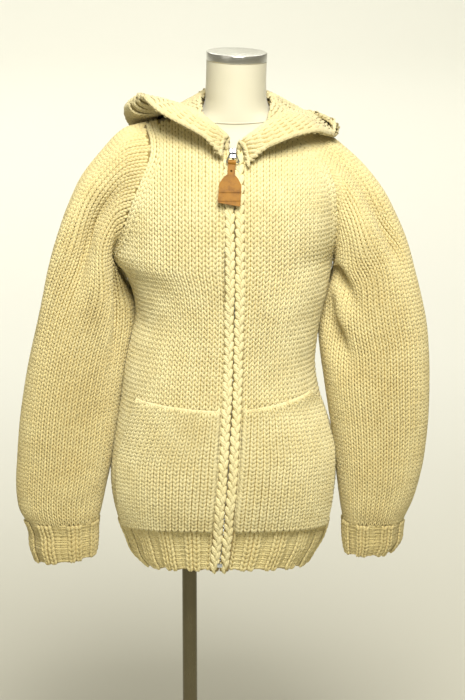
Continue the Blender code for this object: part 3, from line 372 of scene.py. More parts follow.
def vees(points, ups, normals, widths, heights, bulge=3.2):
    """Places for knit stitches: two legs that meet at the foot and part at the top."""
    normals = unit(normals)
    ups = across_normals(ups, normals)
    rights = np.cross(ups, normals)
    widths, heights = (np.broadcast_to(part, len(points)) for part in (widths, heights))
    places = []
    for hand in (-1, 1):
        middle = points + rights * (hand * widths * LEG_OFF)[:, None] - normals * SUNK
        along = ups * math.cos(LEAN) + rights * hand * math.sin(LEAN)
        places.append(laid(middle, along, normals, widths * LEG_WIDE, heights * LEG_LONG, bulge))
    return [tuple(np.concatenate(part) for part in zip(*places))]


def purls(points, ups, normals, widths, heights, bulge=2.5):
    """Places for purl stitches: bumps across the cloth, with a lower one between each two rows."""
    normals = unit(normals)
    ups = across_normals(ups, normals)
    rights = np.cross(ups, normals)
    between = points + ups * (heights / 2)[:, None] - normals * (SUNK + PURL_LOWER)
    return [
        laid(points - normals * SUNK, rights, normals, heights * PURL_HIGH, widths * PURL_WIDE, bulge),
        laid(between, rights, normals, heights * PURL_HIGH, widths, bulge),
    ]


# ---- Shape of the body: the garment's own sizes, as the solids have them, and its soft creases.
# Half outline and depths at each height; the part above the armpit runs on under the sleeves.
RIGHT, LEFT = -1, 1
SIDES = {RIGHT: "right", LEFT: "left"}
FRONT, BACK = -1, 1
# The cloth's thickness, the gap at a seam, and how full the body's and sleeves' sections are: 2 is an ellipse
WALL, SEAM, FULLNESS = 6.0, 0.3, 2.2
# Heights of the armpits and the zip's top, and the fronts' distance from the zip's middle
ARMPIT, ZIP_TOP, ZIP_GAP = 1008.0, 1180.0, 3.0
# The neck opening's middle and half width, and how far the nape's edge rises behind it
NECK_X, NECK_HALF, NAPE_RISE = 71.0, 55.0, 10.0
# Where front and back start to close in to the shoulder ridge, and how late they do it
SHOULDER_FROM, SHOULDER_POWER = 1060.0, 2.5
# The shoulder ridge: height beside the neck, fall outwards, how round it starts, and the rise at the neck
RIDGE_Z, RIDGE_FALL, RIDGE_ROUND, RIDGE_RISE, RIDGE_REACH = 1247.6, 0.32, 20.0, 45.0, 38.0
# The shoulder tips, and the hem rib's upper and lower edges: height at the side seams and rise to the middle
TIP_X = {RIGHT: -60.8, LEFT: 156.0}
HEM_TOP_SIDE, HEM_TOP_RISE = 600.0, 14.0
HEM_BOTTOM_SIDE, HEM_BOTTOM_RISE = 534.0, 13.0


class Table:
    """Rows of sizes with named columns, read smoothly between rows along the first column."""

    def __init__(self, columns, rows):
        values = np.array(rows, float).T
        self.along = values[0]
        self.values = dict(zip(columns, values))

    def __call__(self, column, at):
        x, y = self.along, self.values[column]
        at = np.clip(at, x[0], x[-1])
        slope = np.gradient(y, x)
        i = np.clip(np.searchsorted(x, at) - 1, 0, len(x) - 2)
        h = x[i + 1] - x[i]
        s = (at - x[i]) / h
        start = (1 + 2 * s) * (1 - s) ** 2 * y[i] + s * (1 - s) ** 2 * h * slope[i]
        end = s * s * (3 - 2 * s) * y[i + 1] + s * s * (s - 1) * h * slope[i + 1]
        return start + end


BODY = Table(
    ("z", "right", "left", "zip", "front", "back"),
    [
        (520, -60, 168, 44.5, 94, 90),
        (534, -71, 180, 45, 97, 93),
        (551, -86, 190, 46.5, 101, 97),
        (574, -95.5, 203, 49, 106, 101),
        (606, -108, 213, 52, 113, 107),
        (640, -115, 218, 54.5, 122, 114),
        (681, -116.5, 221, 58, 127, 118),
        (712, -113, 220, 60, 128, 118),
        (758, -106, 208, 62.5, 127, 115),
        (801, -99.5, 194, 65, 124, 110),
        (845, -94, 188, 66.5, 121, 106),
        (882, -86, 191, 67.5, 119, 103),
        (919, -78, 197, 68.2, 119, 102),
        (957, -82.5, 206, 69, 121, 104),
        (985, -94, 211, 69.4, 123, 107),
        (1008, -111.5, 215, 69.6, 124, 109),
        (1040, -116, 226, 69.6, 124, 110),
        (1068, -119, 234, 69.4, 123, 110),
        (1100, -121, 239, 68.8, 120, 110),
        (1140, -122, 240, 67.8, 111, 108),
        (1180, -122, 240, 66.5, 97, 104),
        (1245, -122, 240, 66, 82, 100),
    ],
)
ARMHOLE = Table(
    ("z", "front_right", "front_left", "back_right", "back_left"),
    [
        (1008, -111.5, 215, -111.5, 215),
        (1035, -105, 217, -107, 217.5),
        (1061, -93, 218.5, -99, 217),
        (1094, -82, 217.5, -89, 211),
        (1122, -71.5, 214.5, -81, 204),
        (1150, -60, 204.5, -73, 193),
        (1165, -54.5, 194, -68, 186),
        (1188, -54.5, 171, -62, 174),
        (1205, -60.8, 159, -60.8, 165),
        (1219.7, -60.8, 156, -60.8, 156),
    ],
)
# Soft creases of the body: two ends as (x, z), half width, and how deep, negative for a ridge
CREASES = {
    FRONT: [
        (-104, 985, -62, 905, 15, 2.6),
        (-96, 1012, -20, 962, 18, 1.8),
        (-60, 880, -85, 770, 16, 2.0),
        (-30, 1060, -44, 930, 20, -1.6),
        (214, 1100, 204, 985, 14, 4.5),
        (205, 1000, 165, 905, 15, 2.4),
        (196, 1020, 122, 965, 18, 1.8),
        (172, 880, 196, 765, 17, 2.2),
        (112, 1080, 118, 930, 20, -1.5),
        (54, 1040, 54, 950, 5, 3.0),
        (20, 870, 8, 700, 18, 1.6),
        (112, 900, 104, 720, 18, 1.5),
        (-10, 690, 0, 610, 16, 1.8),
        (130, 700, 120, 612, 15, 1.8),
    ],
    BACK: [
        (-100, 990, -30, 880, 17, 2.6),
        (204, 990, 130, 890, 17, 2.4),
        (60, 860, -10, 800, 18, 2.2),
        (40, 780, 130, 745, 17, 2.0),
        (90, 940, 96, 760, 22, -1.8),
        (10, 760, 0, 620, 20, 1.8),
        (140, 740, 150, 620, 19, 1.8),
    ],
}
# How far a crease runs at full depth from its middle and how fast it fades, as shares of its length,
# and the body's depth under which creases grow weaker
CREASE_FULL, CREASE_FADE, CREASE_DEPTH = 0.3, 0.24, 40.0


def ridge_height(x):
    off = np.abs(x - NECK_X)
    rise = RIDGE_RISE * np.exp(-((off / RIDGE_REACH) ** 2))
    return RIDGE_Z - RIDGE_FALL * np.sqrt(off**2 + RIDGE_ROUND**2) + rise


def pressed(x, z, way):
    """How far the creases press the body in at (x, z)."""
    depth = np.zeros(np.broadcast(x, z).shape)
    for x0, z0, x1, z1, width, deep in CREASES[way]:
        length = math.hypot(x1 - x0, z1 - z0)
        along = ((x - x0) * (x1 - x0) + (z - z0) * (z1 - z0)) / length
        off = ((x - x0) * (z1 - z0) - (z - z0) * (x1 - x0)) / length
        past = np.maximum(np.abs(along - length / 2) - length * CREASE_FULL, 0) / (length * CREASE_FADE)
        depth += deep * np.exp(-((off / width) ** 2) - past**2)
    return depth


def across_at(x, z):
    """Where x lies between the side seams at a height, from -1 to 1."""
    low, high = BODY("right", z), BODY("left", z)
    return (x - (low + high) / 2) / ((high - low) / 2)


def x_at(across, z):
    low, high = BODY("right", z), BODY("left", z)
    return (low + high) / 2 + across * (high - low) / 2


def body_depth(x, z, way):
    """Distance of the body's outer face from the side seams' plane."""
    across = np.clip(np.abs(across_at(x, z)), 0, 1)
    rounded = (1 - across**FULLNESS) ** (1 / FULLNESS)
    rise = np.clip((z - SHOULDER_FROM) / (ridge_height(x) - SHOULDER_FROM), 0, 1)
    closing = np.sqrt(1 - rise**SHOULDER_POWER)
    return BODY("front" if way == FRONT else "back", z) * rounded * closing


def body_point(x, z, way, soft=True):
    x, z = np.broadcast_arrays(np.asarray(x, float), np.asarray(z, float))
    depth = body_depth(x, z, way)
    if soft:
        depth = depth - pressed(x, z, way) * np.clip(depth / CREASE_DEPTH, 0, 1)
    return np.stack([x, way * depth, z], axis=-1)


def body_normal(x, z, way, step=1.5):
    across = body_point(x + step, z, way) - body_point(x - step, z, way)
    up = body_point(x, z + step, way) - body_point(x, z - step, way)
    return unit(np.cross(across, up) * -way)


def hem_top(across):
    return HEM_TOP_SIDE + HEM_TOP_RISE * (1 - across**2)


def hem_bottom(across):
    return HEM_BOTTOM_SIDE + HEM_BOTTOM_RISE * (1 - across**2)


def front_across(side, u, z):
    """Across-position at fraction u of the way from the zip to the side seam, evenly spaced by angle."""
    start = np.arcsin(across_at(BODY("zip", z) + side * ZIP_GAP, z))
    return np.sin(start + (side * math.pi / 2 - start) * u)


def back_across(u):
    """The same for the back, where u runs from 0 at the right side seam to 1 at the left one."""
    return np.sin(math.pi * (u - 0.5))


def across_of(side, u, z):
    return back_across(u) if side == 0 else front_across(side, u, z)


def lower_xz(side, u, f):
    """(x, z) of a panel under the armpit; f runs from the hem rib at 0 to the armpit at 1."""
    z = np.full(np.broadcast(u, f).shape, HEM_TOP_SIDE)
    for _ in range(4):
        across = across_of(side, u, z)
        z = hem_top(across) + f * (ARMPIT - hem_top(across))
    return x_at(across_of(side, u, z), z), z


def neck_height(x, side):
    """Height of the neckline over x: side 0 is the nape."""
    neck_z = ridge_height(NECK_X + NECK_HALF)
    if side == 0:
        return neck_z + NAPE_RISE * (1 - ((x - NECK_X) / NECK_HALF) ** 2)
    start = BODY("zip", ZIP_TOP) + side * ZIP_GAP
    share = np.clip((x - start) / (NECK_X + side * NECK_HALF - start), 0, 1)
    return neck_z - (neck_z - ZIP_TOP) * np.sqrt(1 - share**2)


def top_height(x, side):
    """Height of a panel's upper edge over x, neckline and shoulder together."""
    return np.where(np.abs(x - NECK_X) < NECK_HALF, neck_height(x, side), ridge_height(x))


def armhole_x(side, way, z):
    return ARMHOLE(("front_" if way == FRONT else "back_") + SIDES[side], z)


def armhole_edge(side, way, count):
    z = np.linspace(ARMPIT, ridge_height(TIP_X[side]), count)
    return body_point(armhole_x(side, way, z), z, way)


# ---- Fronts and back: plain stockinette in thick wool, hand knitted from the rib up.
# Each is a thin shell of the same wool, coloured darker as painted shade in the gaps, with its stitches on it;
# wales run straight up to the armhole's edge, where two wales follow the seam.
WALE, ROW = 9.6, 7.3
# The upright line that rows are counted along: its distance from the neck's middle, and its end. Then how
# far under the top edge and how many wales off the armhole the upright wales stop, and a seam wale's width
ROWS_FROM_NECK, ROWS_TO, TOP_CLEAR, SEAM_CLEAR, SEAM_WALE = 60.0, 1230.0, 3.0, 1.62, 0.96
# The neckline's share of a panel's top edge, and how closely its points gather towards the shoulder
NECK_SHARE, NECK_CURVE = 0.5, 1.5


def measured(path):
    """Length along a row of points up to each."""
    return np.concatenate([[0], np.cumsum(np.linalg.norm(np.diff(path, axis=0), axis=1))])


def sampled(at, length, values):
    return np.column_stack([np.interp(at, length, values[:, k]) for k in range(values.shape[1])])


def seats_along(path, pitch):
    """Reads what belongs to a path's points in the middle of each even step along it."""
    length = measured(path)
    at = np.arange(0.5, length[-1] / pitch) * pitch
    return lambda values: sampled(at, length, values)


def crossed(across, up):
    """Every pair of the two rows of numbers, as two flat arrays."""
    return (part.ravel() for part in np.meshgrid(across, up))


def grid_normals(grid, around, outward):
    """Unit normals of a grid of points; outward is 1 or -1, for the way the cross product has to turn."""
    if around:
        along = np.roll(grid, -1, axis=1) - np.roll(grid, 1, axis=1)
    else:
        along = np.gradient(grid, axis=1)
    return unit(outward * np.cross(along, np.gradient(grid, axis=0)))


def shell(name, outer, inner, around, material):
    """A closed wall between two grids of points."""
    rows, columns = outer.shape[:2]
    points = np.concatenate([outer.reshape(-1, 3), inner.reshape(-1, 3)]) * MM
    spans = range(columns if around else columns - 1)
    faces = []

    def at(layer, j, i):
        return (layer * rows + j) * columns + i % columns

    for j in range(rows - 1):
        for i in spans:
            faces.append((at(0, j, i), at(0, j, i + 1), at(0, j + 1, i + 1), at(0, j + 1, i)))
            faces.append((at(1, j + 1, i), at(1, j + 1, i + 1), at(1, j, i + 1), at(1, j, i)))
    for j in (0, rows - 1):
        faces += [(at(0, j, i), at(1, j, i), at(1, j, i + 1), at(0, j, i + 1)) for i in spans]
    for i in () if around else (0, columns - 1):
        faces += [(at(0, j, i), at(0, j + 1, i), at(1, j + 1, i), at(1, j, i)) for j in range(rows - 1)]
    mesh = bpy.data.meshes.new(name)
    mesh.from_pydata(points.tolist(), [], faces)
    builder = bmesh.new()
    builder.from_mesh(mesh)
    bmesh.ops.recalc_face_normals(builder, faces=builder.faces)
    if builder.calc_volume(signed=True) < 0:
        bmesh.ops.reverse_faces(builder, faces=builder.faces)
    builder.to_mesh(mesh)
    builder.free()
    mesh.shade_smooth()
    mesh.materials.append(material)
    return placed(name, mesh)


def cloth(name, grid, normals, around):
    """The thin shell under a piece's stitches, in the wool coloured darker as painted shade between them."""
    return shell(name, grid - normals * SUNK, grid - normals * WALL, around, shaded_ground)


def panel_grid(side, way, lower_rows, upper_rows, columns):
    """A front's or the back's points, hem rib to neckline and shoulder, each upper row a blend of its edges."""
    u = np.linspace(0, 1, columns + 1)
    rows = [body_point(*lower_xz(side, u, np.full_like(u, f)), way) for f in np.linspace(0, 1, lower_rows + 1)[:-1]]
    x_low = lower_xz(side, u, np.ones_like(u))[0]
    middle = NECK_SHARE
    if side == 0:
        share = np.linspace(-1, 1, columns + 1)
        x_top = np.where(
            np.abs(share) < middle,
            NECK_X + NECK_HALF * np.sin(share / middle * math.pi / 2),
            np.where(
                share > 0,
                NECK_X + NECK_HALF + (share - middle) / (1 - middle) * (TIP_X[LEFT] - NECK_X - NECK_HALF),
                NECK_X - NECK_HALF + (-share - middle) / (1 - middle) * (TIP_X[RIGHT] - NECK_X + NECK_HALF),
            ),
        )
    else:
        start = BODY("zip", ZIP_TOP) + side * ZIP_GAP
        neck = NECK_X + side * NECK_HALF
        curve = 1 - (1 - np.clip(u / middle, 0, 1)) ** NECK_CURVE
        x_top = np.where(
            u < middle,
            start + (neck - start) * np.sin(curve * math.pi / 2),
            neck + (u - middle) / (1 - middle) * (TIP_X[side] - neck),
        )
    z_top = top_height(x_top, side)
    even = np.linspace(0, 1, upper_rows + 1)
    for w in (even + (1 - np.cos(math.pi * even)) / 2) / 2:
        edges = []
        for hand in (0, side) if side else (RIGHT, LEFT):
            if hand == 0:
                z = ARMPIT + w * (ZIP_TOP - ARMPIT)
                edges.append((BODY("zip", z) + side * ZIP_GAP, z))
            else:
                z = ARMPIT + w * (ridge_height(TIP_X[hand]) - ARMPIT)
                edges.append((armhole_x(hand, way, z), z))
        blend = []
        for axis, low, top in ((0, x_low, x_top), (1, np.full_like(u, ARMPIT), z_top)):
            start, end = edges[0][axis], edges[1][axis]
            corners = (1 - u) * ((1 - w) * low[0] + w * top[0]) + u * ((1 - w) * low[-1] + w * top[-1])
            blend.append((1 - w) * low + w * top + (1 - u) * start + u * end - corners)
        rows.append(body_point(blend[0], blend[1], way))
    return np.array(rows)


def clear_of(points, edge, least):
    """Which points lie at least so far from an edge."""
    return np.linalg.norm(points[:, None, :] - edge[None, :, :], axis=2).min(axis=1) > least


def panel_stitches(side, way, wales, leg_bulge):
    """Places for a front's or the back's stitches."""
    u = (np.arange(wales) + 0.5) / wales
    rows = int(round((ARMPIT - HEM_TOP_SIDE - HEM_TOP_RISE / 2) / ROW))
    uu, ff = crossed(u, (np.arange(rows) + 0.5) / rows)
    x, z = lower_xz(side, uu, ff)
    points = body_point(x, z, way)
    ups = body_point(*lower_xz(side, uu, ff + 0.5 / rows), way) - points
    beside = body_point(*lower_xz(side, uu + 0.5 / wales, ff), way) - points
    widths, heights = np.linalg.norm(beside, axis=1) * 2, np.linalg.norm(ups, axis=1) * 2
    places = vees(points, ups, body_normal(x, z, way), widths, heights, leg_bulge)

    # Above the armpit: straight wales, cut off by the neckline, the shoulder and the armholes
    x_wale = lower_xz(side, u, np.ones_like(u))[0]
    down = np.linspace(ARMPIT, ROWS_TO, 300)
    middle = NECK_X + (side or 1) * ROWS_FROM_NECK
    path = body_point(np.full_like(down, middle), np.minimum(down, ridge_height(middle) - 0.5), way)
    levels = seats_along(path, ROW)(down[:, None])[:, 0]
    xx, zz = crossed(x_wale, levels)
    gaps = np.abs(np.tile(np.gradient(x_wale), len(levels)))
    points = body_point(xx, zz, way)
    keep = zz < top_height(xx, side) - TOP_CLEAR
    hands = (side,) if side else (RIGHT, LEFT)
    for hand in hands:
        inside = (xx - armhole_x(hand, way, zz)) * hand < 0
        keep &= inside & clear_of(points, armhole_edge(hand, way, 160), SEAM_CLEAR * WALE)
    xx, zz, gaps, points = xx[keep], zz[keep], gaps[keep], points[keep]
    ups = body_point(xx, zz + 2.0, way) - body_point(xx, zz - 2.0, way)
    beside = body_point(xx + 0.5 * gaps, zz, way) - body_point(xx - 0.5 * gaps, zz, way)
    places += vees(points, ups, body_normal(xx, zz, way), np.linalg.norm(beside, axis=1), ROW, leg_bulge)

    # Two wales that follow each armhole's seam
    for hand in hands:
        edge = armhole_edge(hand, way, 400)
        seam = seats_along(edge, ROW)(edge)
        tangent = unit(np.gradient(seam, axis=0))
        inward = np.cross(tangent, body_normal(seam[:, 0], seam[:, 2], way))
        inward = inward * np.sign(np.sum(inward * [-hand, 0, 0], axis=1, keepdims=True))
        for place in (0.5, 1.5):
            moved = seam + inward * place * WALE * SEAM_WALE
            x, z = moved[:, 0], np.minimum(moved[:, 2], ridge_height(moved[:, 0]) - 1.0)
            normal = body_normal(x, z, way)
            places += vees(body_point(x, z, way), tangent, normal, WALE * SEAM_WALE, ROW, leg_bulge)
    return places


# Rows of the shells' grids under and over the armpit
PANEL_ROWS = (42, 30)
# Flat cuts in metres, and the share of one that the armholes and the neck leave
panels = []
for side, wales in ((RIGHT, 27), (LEFT, 24)):
    node = "front_" + SIDES[side]
    grid = panel_grid(side, FRONT, *PANEL_ROWS, columns=36)
    panel = cloth(node + "_knit", grid, grid_normals(grid, False, side), False)
    places = panel_stitches(side, FRONT, wales, leg_bulge=3.3)
    stitches = knit(node + "_stitches", places, fine_leg, seed=3 + side)
    panels.append((panel, stitches, node))
grid = panel_grid(0, BACK, *PANEL_ROWS, columns=64)
panel = cloth("back_knit", grid, grid_normals(grid, False, FRONT), False)
stitches = knit("back_stitches", panel_stitches(0, BACK, wales=50, leg_bulge=3.2), plain_leg, seed=7)
for panel, stitches, node in panels + [(panel, stitches, "back")]:
    for piece in (panel, stitches):
        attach(piece, "root")
    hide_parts(node)


# ---- Sleeves: stockinette tubes set in at the armhole, with soft folds at the elbow and under the arm.
# Wales start at the armhole and run down; rows are counted up from the cuff.
SLEEVE_COLUMNS = ("ring", "outer_x", "outer_z", "inner_x", "inner_z", "front", "back")
SLEEVE = {
    RIGHT: Table(
        SLEEVE_COLUMNS,
        [
            (0, -60.8, 1204.9, -111.5, 1008, 62, 60),
            (1, -96, 1193, -115, 997, 63, 60),
            (2, -129, 1159, -109, 987, 65, 61),
            (3, -156, 1124, -101, 977, 67, 62),
            (4, -176, 1082, -94, 965, 68, 63),
            (5, -193, 1035, -88, 948, 67, 63),
            (6, -207, 988, -84, 928, 66, 62),
            (7, -218, 940, -85.5, 902, 64, 61),
            (8, -228, 894, -92, 868, 62, 60),
            (9, -238, 848, -98.5, 832, 61, 59),
            (10, -246.5, 801, -105, 788, 60, 58),
            (11, -254, 751, -111, 739, 59, 57),
            (12, -259, 695, -118.5, 692, 57, 55),
            (13, -262, 652, -127, 651, 55, 53),
            (14, -259, 617, -134, 617, 51, 49),
            (15, -250, 597, -139, 597, 46, 44),
            (16, -242, 577, -142, 580, 41, 39),
            (17, -240, 552, -143, 559, 40, 38),
            (18, -233, 530, -145, 541, 36, 35),
        ],
    ),
    LEFT: Table(
        SLEEVE_COLUMNS,
        [
            (0, 156, 1219.7, 215, 1008, 58, 58),
            (1, 190, 1199, 217.5, 1000, 60, 59),
            (2, 223, 1174, 217, 991, 63, 61),
            (3, 258, 1142, 216.5, 984, 66, 62),
            (4, 288, 1104, 214.5, 972, 68, 63),
            (5, 309, 1064, 211.5, 958, 68, 63),
            (6, 326, 1024, 208, 941, 67, 63),
            (7, 338, 982, 204, 919, 65, 62),
            (8, 348, 940, 201.5, 893, 64, 61),
            (9, 356, 896, 202, 860, 62, 60),
            (10, 360, 844, 206, 820, 61, 59),
            (11, 361, 794, 211.5, 777, 60, 58),
            (12, 359.5, 740, 218, 730, 59, 57),
            (13, 353, 682, 224.5, 672, 57, 55),
            (14, 341, 633, 230, 628, 52, 50),
            (15, 326, 597, 235, 597, 45, 43),
            (16, 323, 579, 236, 579, 41, 39),
            (17, 320, 563, 237.5, 560, 39, 38),
            (18, 309, 547, 240, 544, 34, 33),
        ],
    ),
}
# Rings where the cuff starts and ends, its seam's gap, and how far the armhole's shape runs down the sleeve
CUFF_FROM, CUFF_TO, CUFF_SEAM_RINGS, CAP_BLEND_RINGS = 15, 18, 0.04, 5.0
# Ring and turn of each fold's middle, reach along and round, depth, and slant in rings for each degree
FOLD_COLUMNS = ("ring", "turn", "along", "round", "depth", "slant")
SLEEVE_FOLDS = {
    RIGHT: [
        (5.3, 38, 2.6, 14, 24, 0.0),
        (4.4, 79, 2.4, 12, -9.0, 0.0),
        (3.5, 108, 2.7, 14, 27, 0.03),
        (4.9, 147, 3.2, 13, -8.0, 0.02),
        (6.6, -14, 3.8, 26, -11.5, 0.0),
        (4.5, -60, 2.2, 24, 6, 0.04),
        (11, 70, 1.6, 30, 4, 0.02),
        (13, 120, 1.2, 36, 3.5, 0.01),
        (3.2, 62, 0.9, 30, 2.4, 0.03),
        (8.0, 210, 1.3, 40, 3.0, 0.02),
        (11.4, 260, 1.1, 45, 3.0, -0.02),
        (13.6, 60, 0.5, 38, 1.8, 0.01),
    ],
    LEFT: [
        (4.3, 38, 0.95, 26, 24, 0.068),
        (3.6, 92, 1.2, 15, -7.0, 0.0),
        (8.3, 40, 0.9, 20, 17, 0.035),
        (6.8, 24, 1.3, 13, 9, 0.0),
        (4.3, 136, 1.8, 15, 17, 0.0),
        (5.8, -14, 3.4, 28, -11.0, 0.0),
        (4.5, -60, 2.2, 24, 6, 0.04),
        (12.5, 118, 1.3, 36, 3.5, 0.01),
        (10.6, 78, 0.9, 30, -2.0, 0.02),
        (7.6, 215, 1.3, 40, 3.0, 0.02),
        (11.0, 265, 1.1, 45, 3.0, -0.02),
        (13.7, 95, 0.5, 38, 1.8, 0.01),
    ],
}


def fold_depth(side, ring, turn):
    """How far the sleeve is pressed in by its folds."""
    degrees = (np.degrees(turn) + 180) % 360 - 180
    depth = 0.0
    for fold in SLEEVE_FOLDS[side]:
        at = dict(zip(FOLD_COLUMNS, fold))
        off = (degrees - at["turn"] + 180) % 360 - 180
        middle = at["ring"] + at["slant"] * off
        depth = depth + at["depth"] * np.exp(-(((ring - middle) / at["along"]) ** 2) - (off / at["round"]) ** 2)
    return depth


def sleeve_section(side, ring, turn):
    """Points of a sleeve; turn runs from the inner edge at 0 over the front to the outer edge at pi."""
    table = SLEEVE[side]
    ring, turn = np.broadcast_arrays(np.asarray(ring, float), np.asarray(turn, float))
    nil = np.zeros_like(ring)
    edges = [[table(edge + axis, ring) for axis in ("_x", "_z")] for edge in ("outer", "inner")]
    outer, inner = (np.stack([x, nil, z], axis=-1) for x, z in edges)
    along, swell = np.cos(turn), np.sin(turn)
    depth = np.where(swell > 0, -table("front", ring), table("back", ring))
    along = np.sign(along) * np.abs(along) ** (2 / FULLNESS)
    swell = np.abs(swell) ** (2 / FULLNESS)
    arm = (inner - outer) / 2 * along[..., None] + np.stack([nil, depth * swell, nil], axis=-1)
    arm = arm * (1 - fold_depth(side, ring, turn) / np.linalg.norm(arm, axis=-1))[..., None]
    return (outer + inner) / 2 + arm


def sleeve_point(side, ring, turn):
    """The same, led over to the armhole's own seam at ring 0."""
    ring, turn = np.broadcast_arrays(np.asarray(ring, float), np.asarray(turn, float))
    z = ARMPIT + (1 - np.cos(turn)) / 2 * (ridge_height(TIP_X[side]) - ARMPIT)
    front, back = (body_point(armhole_x(side, way, z), z, way) for way in (FRONT, BACK))
    seam = np.where((np.sin(turn) > 0)[..., None], front, back)
    fade = np.clip(1 - ring / CAP_BLEND_RINGS, 0, 1) ** 2
    return sleeve_section(side, ring, turn) + (seam - sleeve_section(side, 0, turn)) * fade[..., None]


def spacing(grid, axis):
    """How far apart a grid's points stand along one of its axes."""
    return np.linalg.norm(np.gradient(grid, axis=axis), axis=2)


def wales_along(points, normals, sides, pitch, from_end):
    """Stitch seats along each column of a grid, at an even pitch; sides holds the wale's width at each point."""
    flip = -1 if from_end else 1
    seats = []
    for i in range(points.shape[1]):
        path = points[::flip, i]
        length = measured(path)
        if length[-1] < pitch:
            continue
        at = np.arange(0.5, length[-1] / pitch - 0.3) * pitch
        up = unit(np.gradient(path, axis=0)) * flip
        width = np.interp(at, length, sides[::flip, i])
        seats.append([sampled(at, length, values) for values in (path, up, normals[::flip, i])] + [width])
    return [np.concatenate(part) for part in zip(*seats)]


def even_turns(section, count):
    """Positions round closed rings, in fractions of a turn, at even steps of arc."""
    closed = np.concatenate([section, section[:, :1]], axis=1)
    steps = np.linalg.norm(np.diff(closed, axis=1), axis=2)
    length = np.concatenate([np.zeros((len(section), 1)), np.cumsum(steps, axis=1)], axis=1)
    share = np.linspace(0, 1, closed.shape[1])
    at = (np.arange(count) + 0.5) / count
    return np.array([np.interp(at * row[-1], row, share) for row in length]), length[:, -1]


def full_turn(count):
    return np.linspace(0, 2 * math.pi, count + 1)[:-1]


# Tucked: how far the first ring draws back from the armhole, as a share of the step to the next
SLEEVE_WALES, SLEEVE_ROW, TUCKED = 48, 6.2, 0.05
# Rings and turns of the shell's grid, and of the finer one that the stitches are laid along
SHELL_GRID, STITCH_GRID = (46, 72), (121, 180)
# The sleeves are the same wool; their yarn is coloured darker as painted shade
sleeve_yarn = wool("sleeve_yarn", (0.785, 0.675, 0.34), (0.71, 0.585, 0.27))
rings = np.linspace(0, CUFF_FROM, STITCH_GRID[0])[:, None]
sleeves = []
for side, name in SIDES.items():
    node = "sleeve_" + name
    shell_rings = np.linspace(0, CUFF_FROM, SHELL_GRID[0])[:, None]
    grid = sleeve_point(side, shell_rings, full_turn(SHELL_GRID[1])[None, :])
    grid[0] += (grid[1] - grid[0]) * TUCKED
    panel = cloth(node + "_knit", grid, grid_normals(grid, True, -side), True)
    turns, around = even_turns(sleeve_point(side, rings, full_turn(STITCH_GRID[1])[None, :]), SLEEVE_WALES)
    points = sleeve_point(side, rings, turns * 2 * math.pi)
    sides = np.tile((around / SLEEVE_WALES)[:, None], (1, SLEEVE_WALES))
    normals = grid_normals(points, True, -side)
    seats, ups, normals, widths = wales_along(points, normals, sides, SLEEVE_ROW, from_end=True)
    places = vees(seats, -ups, normals, widths, SLEEVE_ROW, bulge=3.4)
    sleeves.append((panel, knit(node + "_stitches", places, plain_leg, sleeve_yarn, seed=11 + side), node))
for panel, stitches, node in sleeves:
    for piece in (panel, stitches):
        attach(piece, "root")
    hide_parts(node)
    above = node.replace("sleeve", "front") + "_knit"


# ---- Ribs: the hem in three parts and the two cuffs, in two-by-two rib of the same wool.
# Raised pairs of knit wales stand between sunk pairs of purl wales; beside the zip two knit wales lie flat.
# Columns in one rib, its height, that height's share left at the seam, and the columns left flat by the zip
RIB_POINTS, RIB_HEIGHT, RIB_AT_SEAM, RIB_PLAIN_BY_ZIP = 6, 3.6, 0.75, 4
RIB_PROFILE = (0.0, 0.0, 0.8, 1.0, 1.0, 0.8)
HEM_COLUMNS, CUFF_RIBS, RIB_ROWS = 33, 8, 9
# Columns of one rib's wales, their width over the wale's own, and the columns and size of those by the zip
RIB_WALES, RIB_WIDEN = ((2.35, vees), (4.15, vees), (5.55, purls), (0.95, purls)), 1.02
ZIP_WALES, ZIP_STITCH = (0.9, 2.3), (8.6, 7.0)
# Rib yarn is the same wool coloured a little darker and cuff yarn darker still, as painted shade; the ribs' shell
# is darker again, painted shade in the gaps
rib_yarn_shaded = wool("rib_yarn_shaded", (0.79, 0.68, 0.34), (0.71, 0.59, 0.27))
cuff_yarn = wool("cuff_yarn", (0.68, 0.57, 0.27), (0.61, 0.495, 0.215))
rib_ground_shade = wool("rib_ground_shade", (0.50, 0.39, 0.17), (0.42, 0.32, 0.13), twist=False)
rib_v = (np.arange(RIB_ROWS) + 0.5) / RIB_ROWS


def rib_lift(column):
    """Height of the rib's face at a column, smooth between the profile's points."""
    at = column % RIB_POINTS
    low = np.floor(at).astype(int) % RIB_POINTS
    share = at - np.floor(at)
    share = share * share * (3 - 2 * share)
    profile = np.array(RIB_PROFILE) * RIB_HEIGHT
    return profile[low] * (1 - share) + profile[(low + 1) % RIB_POINTS] * share


def seam_fade(v):
    return 1 - (1 - RIB_AT_SEAM) * np.clip((v - 0.5) / 0.5, 0, 1)


def rib_shell(node, grid, normals, lift, around):
    outer = grid + normals * (lift - SUNK)[..., None]
    # The shell is coloured darker than the rib's yarn: painted shade in the gaps
    return shell(node + "_knit", outer, grid - normals * WALL, around, rib_ground_shade)


def rib_ups(point_at, column, v):
    return point_at(column, v + 0.02) - point_at(column, v - 0.02)


def rib_places(point_at, centre_at, columns):
    """Knit stitches on the raised wales and purl bumps on the sunk ones, as far as a column.

    point_at(column, v) gives points, with v from 0 at the lower edge to 1 at the rib's seam; the cloth
    faces away from centre_at(points, v).
    """
    places = []
    for offset, kind in RIB_WALES:
        cc, vv = crossed(np.arange(offset, columns, RIB_POINTS), rib_v)
        middle = point_at(cc, vv)
        ups = rib_ups(point_at, cc, vv)
        normal = unit(np.cross(point_at(cc + 0.3, vv) - point_at(cc - 0.3, vv), ups))
        normal = normal * np.sign(np.sum(normal * (middle - centre_at(middle, vv)), axis=1, keepdims=True))
        widths = np.linalg.norm(point_at(cc + 0.9, vv) - point_at(cc - 0.9, vv), axis=1) * RIB_WIDEN
        height = np.linalg.norm(ups, axis=1) / 0.04 / RIB_ROWS
        places += kind(middle + normal * (rib_lift(cc) * seam_fade(vv))[:, None], ups, normal, widths, height)
    return places


